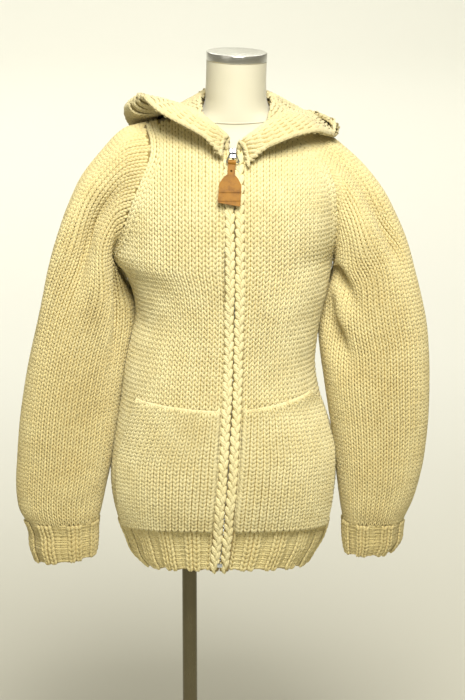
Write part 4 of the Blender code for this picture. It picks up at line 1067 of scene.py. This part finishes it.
def hem_point(side, u, v):
    """v runs from the lower edge at 0 to the seam with the panel at 1."""
    z = np.full(np.broadcast(u, v).shape, HEM_BOTTOM_SIDE)
    for _ in range(4):
        across = across_of(side, u, z)
        z = hem_bottom(across) + v * (hem_top(across) - SEAM - hem_bottom(across))
    return body_point(x_at(across_of(side, u, z), z), z, FRONT if side else BACK)


def body_middle(points, v):
    """The body's upright middle line at each point's height."""
    return points * [0, 0, 1] + [60, 0, 0]


ribs = []
for side, node in ((RIGHT, "hem_front_right"), (LEFT, "hem_front_left"), (0, "hem_back")):
    columns = HEM_COLUMNS * (1 if side else 2)
    fine, vs = np.linspace(0, columns, columns * 4 + 1)[None, :], np.linspace(0, 1, 9)[:, None]
    grid = hem_point(side, fine / columns, vs)
    lift = rib_lift(columns - fine if side else fine) * seam_fade(vs)
    if side:
        lift = np.where(fine < RIB_PLAIN_BY_ZIP - 0.5, 0.0, lift)
    panel = rib_shell(node, grid, grid_normals(grid, False, side or FRONT), lift, False)

    def point_at(column, v, side=side, columns=columns):
        return hem_point(side, (columns - column if side else column) / columns, v)

    places = rib_places(point_at, body_middle, columns - (RIB_PLAIN_BY_ZIP - 0.8 if side else 0.5))
    if side:
        cc, vv = crossed(columns - np.array(ZIP_WALES), rib_v)
        middle = point_at(cc, vv)
        normal = body_normal(middle[:, 0], middle[:, 2], FRONT)
        places += vees(middle, rib_ups(point_at, cc, vv), normal, *ZIP_STITCH)
    stitches = knit(node + "_stitches", places, fine_leg, rib_yarn_shaded, seed=17 + side)
    ribs.append((panel, stitches, node, (0.19 if side else 0.36, 0.066)))

for side, name in SIDES.items():
    node = "cuff_" + name
    columns = CUFF_RIBS * RIB_POINTS

    def point_at(column, v, side=side, columns=columns):
        start = CUFF_FROM + CUFF_SEAM_RINGS
        return sleeve_section(side, start + (CUFF_TO - start) * (1 - v), 2 * math.pi * column / columns)

    fine, vs = np.linspace(0, columns, columns * 4 + 1)[None, :-1], np.linspace(0, 1, 10)
    grid = point_at(fine, vs[:, None])
    lift = rib_lift(fine) * seam_fade(vs[:, None])
    panel = rib_shell(node, grid, grid_normals(grid, True, side), lift, True)

    def centre_at(points, v, vs=vs, line=np.mean(grid, axis=1)):
        return sampled(v, vs, line)

    places = rib_places(point_at, centre_at, columns)
    stitches = knit(node + "_stitches", places, fine_leg, cuff_yarn, seed=27 + side)
    ribs.append((panel, stitches, node, (0.27, 0.06)))
for panel, stitches, node, flat in ribs:
    for piece in (panel, stitches):
        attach(piece, "root")
    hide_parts(node)
    above = node.replace("hem_", "").replace("cuff", "sleeve") + "_knit"


# ---- Hood: one piece of the same knit, joined on at the neckline and worn down.
# Its front edges turn out as two wings that show the purl side; its bag hangs down the back.
HOOD_UP_FROM = 1230.0
HOOD_PARTS = ("over", "lie", "low", "round", "back", "rim")
HOOD_COLUMNS = ["turn"] + [part + way for part in HOOD_PARTS for way in ("_out", "_up")]
# Steps between one part and the next, and how many times finer the mesh is than they are
HOOD_STEPS, HOOD_FINER = (1, 1, 2, 3, 2, 2, 3), 3
# At the neckline: first step out and up, distance of the ends from the zip, and how far those are lifted
HOOD_STAND, HOOD_FROM_ZIP, HOOD_LIFT = (1.0, 4.0), 3.5, 0.6
# Clearance over the body and the steps in which it is reached; then, in degrees, how far the curves next to
# the zip spread to the side and over what turn they stop doing so
HOOD_CLEAR, HOOD_CLEAR_ROWS = 6.0, 2
HOOD_SPREAD, HOOD_SPREAD_OVER = 9.0, 14.0
HOOD = {
    RIGHT: Table(
        HOOD_COLUMNS,
        [
            (9, 86, -39, 88.5, -39, 91, -42, 93, -48, 96, -55, 99.5, -65),
            (24, 80, -22, 83.5, -20, 88, -20, 93, -22, 99, -27, 106, -33),
            (33, 76, -16, 80.5, -13, 87, -12, 94, -14, 101, -18, 110, -23),
            (45, 73, -9, 79, -6, 87, -4, 96, -4, 106, -7, 118, -12),
            (60, 73, -3, 82, 1, 93, 4, 105, 5, 118, 5, 133, 4),
            (75, 77, -3, 92, 0, 107, 5, 121, 11, 132, 15, 141, 17),
            (85, 79, -4, 100, -7, 120, -8, 140, -4, 150, 6, 143, 19),
            (95, 80, -4, 106, -13, 134, -21, 157, -18, 163, -4, 138, 16),
            (110, 81, -5, 113, -20, 143, -44, 164, -44, 168, -18, 124, 3),
            (131, 80, -9, 107, -38, 138, -104, 157, -112, 165, -64, 108, -12),
            (150, 80, -2, 107, -50, 127, -160, 148, -166, 156, -85, 96, 11),
            (180, 80, 0, 108, -58, 118, -196, 140, -197, 149, -90, 93, 20),
        ],
    ),
    LEFT: Table(
        HOOD_COLUMNS,
        [
            (9, 86, -42, 88, -43, 90, -47, 92, -53, 95, -60, 98.5, -69),
            (24, 80, -28, 84, -27, 89, -29, 94, -34, 99, -40, 105, -47),
            (33, 77, -22, 82, -20, 88, -22, 95, -26, 103, -32, 112, -39),
            (45, 74, -14, 81, -13, 89, -14, 99, -18, 110, -24, 121, -31),
            (60, 75, -8, 85, -8, 96, -10, 108, -14, 121, -20, 134, -28),
            (75, 79, -8, 92, -11, 106, -16, 119, -23, 131, -31, 142, -38),
            (84, 80, -7, 98, -14, 115, -24, 131, -33, 142, -39, 147, -38),
            (90, 80, -6, 100, -16, 119, -28, 138, -41, 147, -40, 148, -31),
            (96, 80, -6, 103, -18, 123, -32, 142, -46, 151, -39, 144, -24),
            (110, 81, -5, 111, -25, 134, -47, 150, -54, 155, -38, 122, -15),
            (133, 79, -12, 106, -44, 138, -106, 156, -113, 161, -68, 103, -17),
            (150, 80, -2, 107, -50, 127, -160, 148, -166, 156, -85, 96, 8),
            (180, 80, 0, 108, -58, 118, -196, 140, -197, 149, -90, 93, 20),
        ],
    ),
}


def neckline_points(count):
    """The neckline from beside the zip at the right, round the nape, to beside the zip at the left."""
    turn = (1 - (1 - np.linspace(0, 1, 60)) ** NECK_CURVE) * math.pi / 2
    halves = {}
    for side in SIDES:
        edge = BODY("zip", ZIP_TOP) + side * ZIP_GAP
        x = edge + (NECK_X + side * NECK_HALF - edge) * np.sin(turn)
        halves[side] = body_point(x, neck_height(x, side), FRONT, False)
    x = NECK_X - NECK_HALF * np.cos(np.linspace(0, math.pi, 120))
    nape = body_point(x, neck_height(x, 0), BACK, False)
    path = np.concatenate([halves[RIGHT], nape[1:-1], halves[LEFT][::-1]])
    length = measured(path)
    points = sampled(np.linspace(HOOD_FROM_ZIP, length[-1] - HOOD_FROM_ZIP, count), length, path)
    points[[0, -1], 2] += HOOD_LIFT
    return points


def spline(points, steps):
    """A smooth curve through the points, with the given number of steps in each section."""
    points = np.array(points)
    gaps = np.linalg.norm(np.diff(points, axis=0), axis=1) ** 0.5
    knots = np.concatenate([[0], np.cumsum(gaps)])
    path = Table(("t", "r", "z"), np.column_stack([knots, points]))
    at = [knots[0]]
    for start, end, count in zip(knots[:-1], knots[1:], steps):
        at.extend(np.linspace(start, end, count + 1)[1:])
    return path("r", np.array(at)), path("z", np.array(at))


def hood_grid(count):
    """The hood's outer face: a curve from each point of the neckline out to the rim."""
    columns = []
    for point in neckline_points(count):
        off = point[:2] - np.array([NECK_X, 0.0])
        side = RIGHT if off[0] < 0 else LEFT
        start = math.degrees(math.atan2(abs(off[0]), -off[1]))
        turn = start + HOOD_SPREAD * math.exp(-start / HOOD_SPREAD_OVER)
        reach = np.linalg.norm(off)
        path = [(reach, point[2]), (reach + HOOD_STAND[0], point[2] + HOOD_STAND[1])]
        for part in HOOD_PARTS:
            path.append((HOOD[side](part + "_out", turn), HOOD_UP_FROM + HOOD[side](part + "_up", turn)))
        out, z = spline(path, [HOOD_FINER * count for count in HOOD_STEPS])
        j = np.arange(len(out)) / HOOD_FINER
        swing = np.radians(start + (turn - start) * np.sin(math.pi / 2 * j / sum(HOOD_STEPS)))
        x, y = NECK_X + side * out * np.sin(swing), -out * np.cos(swing)
        rest = np.where(y < 0, body_depth(x, z, FRONT), body_depth(x, z, BACK))
        rest = rest + HOOD_CLEAR * np.minimum(1.0, j / HOOD_CLEAR_ROWS)
        y = np.where(j > 0, np.sign(y) * np.maximum(np.abs(y), rest), y)
        columns.append(np.stack([x, y, z], axis=-1))
    return np.array(columns).transpose(1, 0, 2)


def evened(normals, passes):
    """Each normal averaged with those round it, so that the inside doesn't cross itself in a sharp bend."""
    for _ in range(passes):
        wide = np.pad(normals, ((1, 1), (1, 1), (0, 0)), mode="edge")
        around = wide[:-2, 1:-1] + wide[2:, 1:-1] + wide[1:-1, :-2] + wide[1:-1, 2:]
        normals = unit(wide[1:-1, 1:-1] + around / 2)
    return normals


def at_columns(grid, where):
    """The grid's columns at fractional positions."""
    low = np.clip(np.floor(where).astype(int), 0, grid.shape[1] - 2)
    share = (where - low)[None, :, None]
    return grid[:, low] * (1 - share) + grid[:, low + 1] * share


HOOD_WALES, HOOD_ROW, HOOD_COUNT = 74, 6.8, 121
# Inside: the two sets of purl bumps, as (wales from the edge, rows up); their size as shares of a row and a
# wale; the narrowest; and how far the inner face may be drawn in, against the outer one, before none fit
PURL_SETS, BUMP_LONG, BUMP_WIDE, BUMP_LEAST, DRAWN_IN = ((0.6, 0.0), (1.1, 0.5)), 0.76, 1.02, 1.5, 0.18
# Edging of the rim: pitch and size of its legs, and their seats as (in from the edge, under the face, facing)
RIM_PITCH, RIM_LEG = 7.6, (5.0, 14.0, 2.8)
RIM_SEATS = ((2.4, 0.4, 1), (0.4, WALL / 2, 0), (2.4, WALL - 0.4, -1))
points = hood_grid(HOOD_COUNT)
normals = evened(grid_normals(points, False, FRONT), passes=30)
# The hood's yarn is the same wool coloured darker, painted shade; the shell under its stitches is darker still,
# painted shade in the gaps
hood_ground_shade = wool("hood_ground_shade", (0.44, 0.35, 0.145), (0.37, 0.285, 0.11), twist=False)
hood_yarn_shaded = wool("hood_yarn_shaded", (0.72, 0.635, 0.36), (0.64, 0.545, 0.28))
hood = shell("hood_knit", points - normals * SUNK, points - normals * (WALL - SUNK), False, hood_ground_shade)
middle = measured(points[len(points) * 2 // 3])


def hood_wales(wales, start):
    """The hood's points and normals along its wales, the first of them so many wales from its edge."""
    at = (np.arange(wales) + start) / HOOD_WALES * middle[-1]
    where = np.interp(at, middle, np.arange(HOOD_COUNT))
    return at_columns(points, where), at_columns(normals, where)


outside, outward = hood_wales(HOOD_WALES, 0.5)
seats, ups, facing, widths = wales_along(outside, outward, spacing(outside, 1), HOOD_ROW, from_end=True)
places = vees(seats, ups, facing, widths, HOOD_ROW, bulge=2.9)
hood_stitches = knit("hood_stitches", places, plain_leg, hood_yarn_shaded, seed=31)
places = []
for start, rise in PURL_SETS:
    outside, outward = hood_wales(HOOD_WALES - 1, start)
    inside = outside - outward * WALL
    crowded = [spacing(inside, axis) < DRAWN_IN * spacing(outside, axis) for axis in (0, 1)]
    sides = np.where(crowded[0] | crowded[1], 0, spacing(inside, 1))
    found = wales_along(inside, -outward, sides, HOOD_ROW, from_end=True)
    seats, ups, facing, widths = (part[found[3] > BUMP_LEAST] for part in found)
    seats = seats - ups * HOOD_ROW * (0.5 - rise) * 0.5 - facing * SUNK
    across = np.cross(ups, facing)
    places.append(laid(seats, across, facing, HOOD_ROW * BUMP_LONG, widths * BUMP_WIDE, heights=3.1))
hood_purls = knit("hood_purls", places, plain_leg, hood_yarn_shaded, seed=32)
places = []
for edge, outward, within in (
    (points[-1], normals[-1], points[-3]),
    (points[:, 0], normals[:, 0], points[:, 2]),
    (points[:, -1], normals[:, -1], points[:, -3]),
):
    inward = unit(within - edge)
    seated = seats_along(edge, RIM_PITCH)
    tangent = seated(unit(np.gradient(edge, axis=0)))
    for deep, under, face in RIM_SEATS:
        facing = unit(seated(outward) * face if face else -seated(inward))
        seat = seated(edge + inward * deep - outward * under) - facing * SUNK
        places.append(laid(seat, tangent, facing, *RIM_LEG))
hood_edge = knit("hood_edging", places, fine_leg, hood_yarn_shaded, seed=33)
for piece in (hood, hood_stitches, hood_purls, hood_edge):
    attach(piece, "root")
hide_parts("hood")


# ---- Patch pockets: two knitted patches sewn flat on the fronts above the rib.
# Straight top edge, slanted hand opening at the outer corner.
POCKET_EDGE = Table(
    ("z", "right", "left"),
    [
        (590, -93, 200),
        (640, -100, 208),
        (690, -101, 211),
        (722, -97, 211),
        (752, -87, 203),
        (778, -79.5, 195.5),
        (797, -74, 188),
        (812, -70, 177),
    ],
)
# Heights of the top edge's two ends, the near one first; gaps to the zip, to the hem rib and to the front
POCKET_TOP = {RIGHT: (800.0, 806.0), LEFT: (801.0, 812.0)}
POCKET_FROM_ZIP, POCKET_OVER_HEM = 18.0, 2.0
POCKET_CLEAR = {RIGHT: 1.5, LEFT: 2.0}
POCKET_WALES, POCKET_ROW, POCKET_COLUMNS = 17, 6.2, 30
# Edging: pitch and size of its legs, their seat as (under the face, in from the edge), and how they face
HEMMED_PITCH, HEMMED_LEG, HEMMED_SEAT, HEMMED_FACE = 6.6, (6.4, 12.0, 2.6), (3.0, 1.2), (0.8, 0.6)


def pocket_xz(side, u, v):
    """(x, z) on a pocket: u runs from the side next to the zip outwards, v from the foot up."""
    near_top, far_top = POCKET_TOP[side]
    u, v = np.broadcast_arrays(u, v)
    x, z = np.full(u.shape, float(BODY("zip", 700))), np.full(u.shape, 700.0)
    for _ in range(4):
        bottom = hem_top(across_at(x, z)) + POCKET_OVER_HEM
        z = bottom + v * (near_top + (far_top - near_top) * u - bottom)
        near = np.arcsin(across_at(BODY("zip", z) + side * POCKET_FROM_ZIP, z))
        far = np.arcsin(across_at(POCKET_EDGE(SIDES[side], z), z))
        x = x_at(np.sin(near + u * (far - near)), z)
    return x, z


for side, name in SIDES.items():
    x, z = pocket_xz(side, np.linspace(0, 1, POCKET_COLUMNS + 1)[None, :], np.linspace(0, 1, 33)[:, None])
    base, normals = body_point(x, z, FRONT, False), body_normal(x, z, FRONT)
    over = base + normals * (POCKET_CLEAR[side] + WALL)
    inner = base + normals * POCKET_CLEAR[side]
    # The patch's shell is the wool coloured darker: painted shade in the gaps
    patch = shell("pocket_" + name + "_knit", over - normals * SUNK, inner, False, shaded_ground)
    where = (np.arange(POCKET_WALES) + 0.5) / POCKET_WALES * POCKET_COLUMNS
    wales = at_columns(over, where)
    facing = at_columns(normals, where)
    seats, ups, facing, widths = wales_along(wales, facing, spacing(wales, 1), POCKET_ROW, from_end=False)
    places = vees(seats, ups, facing, widths, POCKET_ROW, bulge=3.0)
    for edge, within, raised in (
        (over[-1], over[-2], normals[-1]),
        (over[:, -1], over[:, -2], normals[:, -1]),
        (over[:, 0], over[:, 1], normals[:, 0]),
    ):
        seated = seats_along(edge, HEMMED_PITCH)
        outward = unit(edge - within)
        seat = seated(edge - raised * HEMMED_SEAT[0] - outward * HEMMED_SEAT[1])
        facing = unit(seated(raised * HEMMED_FACE[0] + outward * HEMMED_FACE[1]))
        places.append(laid(seat, seated(unit(np.gradient(edge, axis=0))), facing, *HEMMED_LEG))
    stitches = knit("pocket_" + name + "_stitches", places, fine_leg, seed=41 + side)
    for piece in (patch, stitches):
        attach(piece, "root")
    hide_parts("pocket_" + name)


# ---- Edge bands: a thick plaited chain along each side of the zip, worked in doubled yarn.
# The chain's links lean in and out by turns, and swell where they cross.
# Width, distance from the zip's middle, gap to the front and height over it
BAND_WIDTH, BAND_FROM_ZIP, ON_PANEL, BAND_HEIGHT = 13.4, 0.7, 0.9, 3.2
# The band's height at its edges as a share of the middle's, and how flat its top is
BAND_EDGE, BAND_FLAT = 0.35, 0.6
BAND_TOP, BAND_BOTTOM = 1163.0, 546.0
# Links: pitch, distance from the band's middle as a share of its width, lean, lift and size
LINK_PITCH, LINK_OFF, LINK_LEAN, LINK_LIFT, LINK = 13.5, 0.16, math.radians(15), 1.5, (8.8, 24.0, 4.0)
for side, name in SIDES.items():
    share = np.linspace(0, 1, 9)
    z = np.linspace(BAND_BOTTOM, BAND_TOP, 240)[:, None]
    x, z = np.broadcast_arrays(BODY("zip", z) + side * (BAND_FROM_ZIP + BAND_WIDTH * share[None, :]), z)
    base, normals = body_point(x, z, FRONT, False), body_normal(x, z, FRONT)
    crown = BAND_HEIGHT * (BAND_EDGE + (1 - BAND_EDGE) * np.sin(math.pi * share) ** BAND_FLAT)[None, :]
    outer = base + normals * (ON_PANEL + crown)[..., None]
    # The band's shell is the wool coloured darker: painted shade between the links
    band = shell("zip_band_" + name + "_knit", outer, base + normals * ON_PANEL, False, shaded_ground)
    places = []
    for hand in (-1, 1):
        z = np.arange(BAND_BOTTOM + 5, BAND_TOP - 3, LINK_PITCH) + (LINK_PITCH / 2 if hand > 0 else 0)
        x = BODY("zip", z) + side * (BAND_FROM_ZIP + BAND_WIDTH * (0.5 + LINK_OFF * hand * side))
        seat, normal = body_point(x, z, FRONT, False), body_normal(x, z, FRONT)
        up = unit(body_point(x, z + 2, FRONT, False) - seat)
        along = up * math.cos(LINK_LEAN) + np.cross(up, normal) * hand * math.sin(LINK_LEAN)
        places.append(laid(seat + normal * LINK_LIFT, along, normal, *LINK))
    stitches = knit("zip_band_" + name + "_plait", places, fine_leg, unevenness=0.08, seed=51 + side)
    for piece in (band, stitches):
        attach(piece, "root")
    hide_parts("zip_band_" + name)


# ---- Dress form: a padded torso under a smooth pale jersey, its cover seamed round the neck's base.
# The torso is turned out finer than the solid, on the same rings.
FORM = Table(
    ("z", "x", "half", "front", "back"),
    [
        (622, 30, 128, 88, 88),
        (640, 34, 136, 96, 96),
        (690, 44, 144, 104, 102),
        (740, 50, 140, 102, 98),
        (800, 53, 124, 92, 88),
        (860, 55, 112, 86, 80),
        (920, 58, 108, 84, 78),
        (980, 59, 118, 94, 84),
        (1040, 60, 136, 108, 92),
        (1090, 61, 146, 108, 94),
        (1130, 63, 144, 96, 90),
        (1160, 66, 137, 83, 82),
        (1183, 67, 122, 67, 70),
        (1198, 69, 102, 55, 59),
        (1208, 70.5, 83, 50, 52),
        (1215, 71, 67, 49.5, 48.5),
        (1223, 71, 53, 49, 45),
        (1236, 71, 46, 48, 42.5),
        (1255, 71, 44.5, 47, 41.5),
        (1298, 72, 44, 46.5, 41.5),
    ],
)
FORM_FOOT, FORM_TOP = 622.0, 1297.0
# The seam round the neck's base: height, drop at the front, cord's radius and its seat out of the cover
NECK_SEAM_Z, NECK_SEAM_DROP, CORD, CORD_OUT, CORD_SIDES = 1217.5, 5.0, 1.1, 0.2, 6
CAP_THICK, CAP_RADIUS, CAP_EDGE, CAP_LEAN, CAP_Y, PARTS_APART = 12.5, 44.3, 1.6, math.radians(2.0), -2.5, 0.3


def form_ring(z, turns):
    depth = np.where(np.sin(turns) > 0, FORM("back", z), FORM("front", z))
    across = FORM("half", z) * np.cos(turns)
    return np.stack([FORM("x", z) + across, depth * np.sin(turns), np.full_like(turns, z)], axis=-1)


def smooth_solid(name, rings, material, sharp=40):
    """A closed solid through rings of points, with flat ends."""
    count, last = len(rings[0]), len(rings) - 1
    faces = []
    for j in range(last):
        for i in range(count):
            n = (i + 1) % count
            faces.append((j * count + i, j * count + n, (j + 1) * count + n, (j + 1) * count + i))
    faces.append(tuple(range(count))[::-1])
    faces.append(tuple(last * count + i for i in range(count)))
    piece = meshed(name, (np.concatenate(rings) * MM).tolist(), faces, material)
    piece.data.set_sharp_from_angle(angle=math.radians(sharp))
    return piece


jersey = Finish("pale_jersey", 0.75)
weave = jersey.place.noise(1400.0, 1.0)
soil = jersey.place.noise(9.0, 3.0)
jersey.set(Base_Color=soil.ramp(0.3, 0.75).mix((0.60, 0.565, 0.425), (0.57, 0.535, 0.385)))
jersey.set(Sheen_Weight=0.2, Sheen_Roughness=0.4)
jersey.bump(weave, 0.25)
turns = full_turn(96)
rings = [form_ring(z, turns) for z in np.linspace(FORM_FOOT, FORM_TOP, 140)]
rings[-1][:, 2] -= math.tan(CAP_LEAN) * (rings[-1][:, 0] - FORM("x", FORM_TOP))
form = smooth_solid("form_torso_cover", rings, jersey.material)
loops = []
for turn in full_turn(144):
    point = form_ring(NECK_SEAM_Z - NECK_SEAM_DROP * max(0.0, -math.sin(turn)), np.array([turn]))[0]
    out = unit((point - [NECK_X, 0, 0]) * [1, 1, 0])
    for c in full_turn(CORD_SIDES):
        loops.append(point + out * (CORD_OUT + CORD * math.cos(c)) + np.array([0, 0, CORD * math.sin(c)]))
faces = []
for j in range(0, len(loops), CORD_SIDES):
    n = (j + CORD_SIDES) % len(loops)
    for i in range(CORD_SIDES):
        k = (i + 1) % CORD_SIDES
        faces.append((j + i, j + k, n + k, n + i))
form_seam = meshed("form_neck_seam", (np.array(loops) * MM).tolist(), faces, jersey.material)
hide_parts("form_torso")
for piece in (form, form_seam):
    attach(piece, "root")


# ---- Stand: a neck cap of bright turned steel, a darker drawn steel tube and a heavy round base.
# The cap lies on the neck; the tube stands in the base's collar and holds the torso on its upper end.
def steel(name, color, roughness, grain_scale):
    finish = Finish(name, roughness, 1.0)
    grain = finish.place.node("ShaderNodeVectorMath", {0: finish.place, 1: grain_scale}, operation="MULTIPLY")
    lines = grain.noise(60.0, 3.0, 0.7)
    smear = finish.place.noise(14.0, 3.0)
    finish.set(Roughness=(lines * 0.16 + smear * 0.14) + (roughness - 0.12))
    finish.set(Base_Color=smear.ramp(0.3, 0.7).mix(tuple(part * 0.82 for part in color), color))
    finish.bump(lines, 0.12, 0.5)
    return finish.material


# A flat end closes in a small face round its middle, this share of its radius
CLOSE = 0.02


def turned(name, profile, material, middle=(0.0, 0.0, 0.0), lean=0.0, steps=96):
    """A turned solid from (radius, height) pairs, from the foot of its axis up its outer side."""
    turns = full_turn(steps)
    rings = []
    for radius, z in profile:
        ring = np.stack([radius * np.cos(turns), radius * np.sin(turns), np.full_like(turns, z)], axis=-1)
        leaned = ring.copy()
        leaned[:, 0] = ring[:, 0] * math.cos(lean) + ring[:, 2] * math.sin(lean)
        leaned[:, 2] = -ring[:, 0] * math.sin(lean) + ring[:, 2] * math.cos(lean)
        rings.append(leaned + np.array(middle))
    return smooth_solid(name, rings, material, 28)


def rounded_profile(radius, foot, top, edge):
    """The outer side of a disc with rounded edges."""
    profile = [(radius * CLOSE, foot)]
    for z, start in ((foot + edge, -90), (top - edge, 0)):
        for step in range(6):
            turn = math.radians(start + 18 * step)
            profile.append((radius - edge + edge * math.cos(turn), z + edge * math.sin(turn)))
    return profile + [(radius * CLOSE, top)]


cap_steel = steel("cap_steel", (0.80, 0.79, 0.74), 0.20, (1.0, 1.0, 12.0))
pole_steel = steel("pole_steel", (0.15, 0.13, 0.08), 0.22, (14.0, 14.0, 0.6))
base_steel = steel("base_steel", (0.62, 0.61, 0.56), 0.26, (1.0, 1.0, 8.0))
cap_at = (FORM("x", FORM_TOP), CAP_Y, FORM_TOP + PARTS_APART)
cap = turned("neck_cap_turned", rounded_profile(CAP_RADIUS, 0.0, CAP_THICK, CAP_EDGE), cap_steel, cap_at, CAP_LEAN)
POLE_RADIUS, POLE_EDGE, COLLAR_RADIUS, COLLAR_TOP = 11.3, 0.4, 21.0, 46.0
pole_profile = rounded_profile(POLE_RADIUS, COLLAR_TOP + PARTS_APART, FORM_FOOT - PARTS_APART, POLE_EDGE)
pole = turned("pole_tube", pole_profile, pole_steel)
BASE_RADIUS, BASE_THICK, BASE_EDGE = 170.0, 14.0, 4.0
# The collar on the base, with a fillet at its foot and a chamfer at its top
base_profile = rounded_profile(BASE_RADIUS, 0.0, BASE_THICK, BASE_EDGE)[:-1] + [
    (COLLAR_RADIUS + 4, BASE_THICK),
    (COLLAR_RADIUS + 0.8, BASE_THICK + 1.2),
    (COLLAR_RADIUS, BASE_THICK + 4),
    (COLLAR_RADIUS, COLLAR_TOP - 2),
    (COLLAR_RADIUS - 0.6, COLLAR_TOP - 0.6),
    (COLLAR_RADIUS - 2, COLLAR_TOP),
    (COLLAR_RADIUS * CLOSE, COLLAR_TOP),
]
base = turned("base_plate", base_profile, base_steel)
for piece, node in ((cap, "neck_cap"), (pole, "pole"), (base, "base")):
    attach(piece, "root")
    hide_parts(node)


# ---- Zip: a moulded tooth chain between two tapes, a cast slider with its bail, a wire link, a crimped stop.
# Bright nickel on the slider and link; the chain shows only as a line between the bands.
nickel = Finish("nickel", 0.22, 1.0)
wear = nickel.place.noise(160.0, 4.0, 0.6)
nickel.set(Base_Color=wear.ramp(0.3, 0.75).mix((0.30, 0.33, 0.37), (0.66, 0.70, 0.75)))
nickel.set(Roughness=wear * 0.10 + 0.05)
nickel.bump(wear, 0.4, 0.9)
tape = Finish("zip_tape", 0.85)
inputs = {"Vector": tape.place, "Scale": 600.0}
twill = tape.place.node("ShaderNodeTexWave", inputs, "Fac", bands_direction="DIAGONAL")
tape.set(Base_Color=twill.mix((0.60, 0.49, 0.25), (0.72, 0.60, 0.33)))
tape.bump(twill, 0.2)
# How deep the zip lies, with its tape's two faces and its teeth's feet below that; the teeth's pitch, size,
# bevel and way off the middle
ZIP_WIDTH, ZIP_SINK, TAPE_SINK, TOOTH_SINK = 4.6, 3.2, (0.7, 2.2), 0.9
TOOTH_PITCH, TOOTH, TOOTH_BEVEL, TOOTH_OFF = 1.7, (2.9, 1.3, 1.8), 0.16, 0.6
z = np.linspace(BAND_BOTTOM, BAND_TOP, 120)
line, normal = body_point(BODY("zip", z), z, FRONT, False), body_normal(BODY("zip", z), z, FRONT)
spread = np.array([-0.5, -0.2, 0.2, 0.5])[None, :, None] * [ZIP_WIDTH, 0, 0]
upper, lower = ((line - normal * (ZIP_SINK + sink))[:, None] + spread for sink in TAPE_SINK)
zip_tape = shell("zip_tapes", upper, lower, False, tape.material)
builder = bmesh.new()
bmesh.ops.create_cube(builder, size=1.0)
bmesh.ops.bevel(builder, geom=builder.edges[:], offset=TOOTH_BEVEL, segments=1, affect="EDGES")
tooth_mesh = bpy.data.meshes.new("tooth")
builder.to_mesh(tooth_mesh)
builder.free()
tooth = placed("tooth", tooth_mesh)
z = np.arange(BAND_BOTTOM + 2, BAND_TOP - 1, TOOTH_PITCH)
normal = body_normal(BODY("zip", z), z, FRONT)
seat = body_point(BODY("zip", z), z, FRONT, False) - normal * (ZIP_SINK + TOOTH_SINK)
seat[:, 0] += TOOTH_OFF * (np.arange(len(z)) % 2 * 2 - 1)
up = unit(np.gradient(seat, axis=0) * [0, 1, 1])
zip_teeth = knit("zip_teeth", [laid(seat, up, normal, *TOOTH)], tooth, nickel.material, unevenness=0.0)
bpy.data.objects.remove(tooth)
for piece in (zip_tape, zip_teeth):
    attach(piece, "root")
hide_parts("zip_chain")
for node in ("zip_slider", "zip_link", "zip_stop"):
    bpy.data.objects[node].material_slots[0].material = nickel.material


# ---- Pull tag: thick tan leather, rolled round the link.
# Its face is bare; two rows of blind tooling run across it near the foot.
TOOLED_AT, TOOLED_FROM, TOOLED_TO = (0.12, 0.30), 0.3 * MM, 0.9 * MM
leather = Finish("tan_leather", 0.5)
grain = leather.place.noise(520.0, 4.0, 0.65)
patina = leather.place.noise(90.0, 3.0)
tag_low, tag_high = (corner[2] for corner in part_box("pull_tag"))
height = leather.place.node("ShaderNodeSeparateXYZ", {0: leather.place}, "Z")
tooled = 0.0
for share in TOOLED_AT:
    off = (height - (tag_low + (tag_high - tag_low) * share)).math("ABSOLUTE", 0.0)
    tooled = 1 - off.ramp(TOOLED_FROM, TOOLED_TO) + tooled
tone = (patina * 0.7 + grain * 0.3).ramp(0.35, 0.65) - tooled * 0.45
leather.set(Base_Color=tone.ramp(-1.0, 1.0).mix((0.095, 0.030, 0.003), (0.30, 0.133, 0.010)))
leather.set(Roughness=grain * 0.25 + 0.42, Specular_IOR_Level=0.25)
leather.bump(grain * 0.5 - tooled * 0.8, 0.5)
bpy.data.objects["pull_tag"].material_slots[0].material = leather.material

for leg in (fine_leg, plain_leg):
    bpy.data.objects.remove(leg)
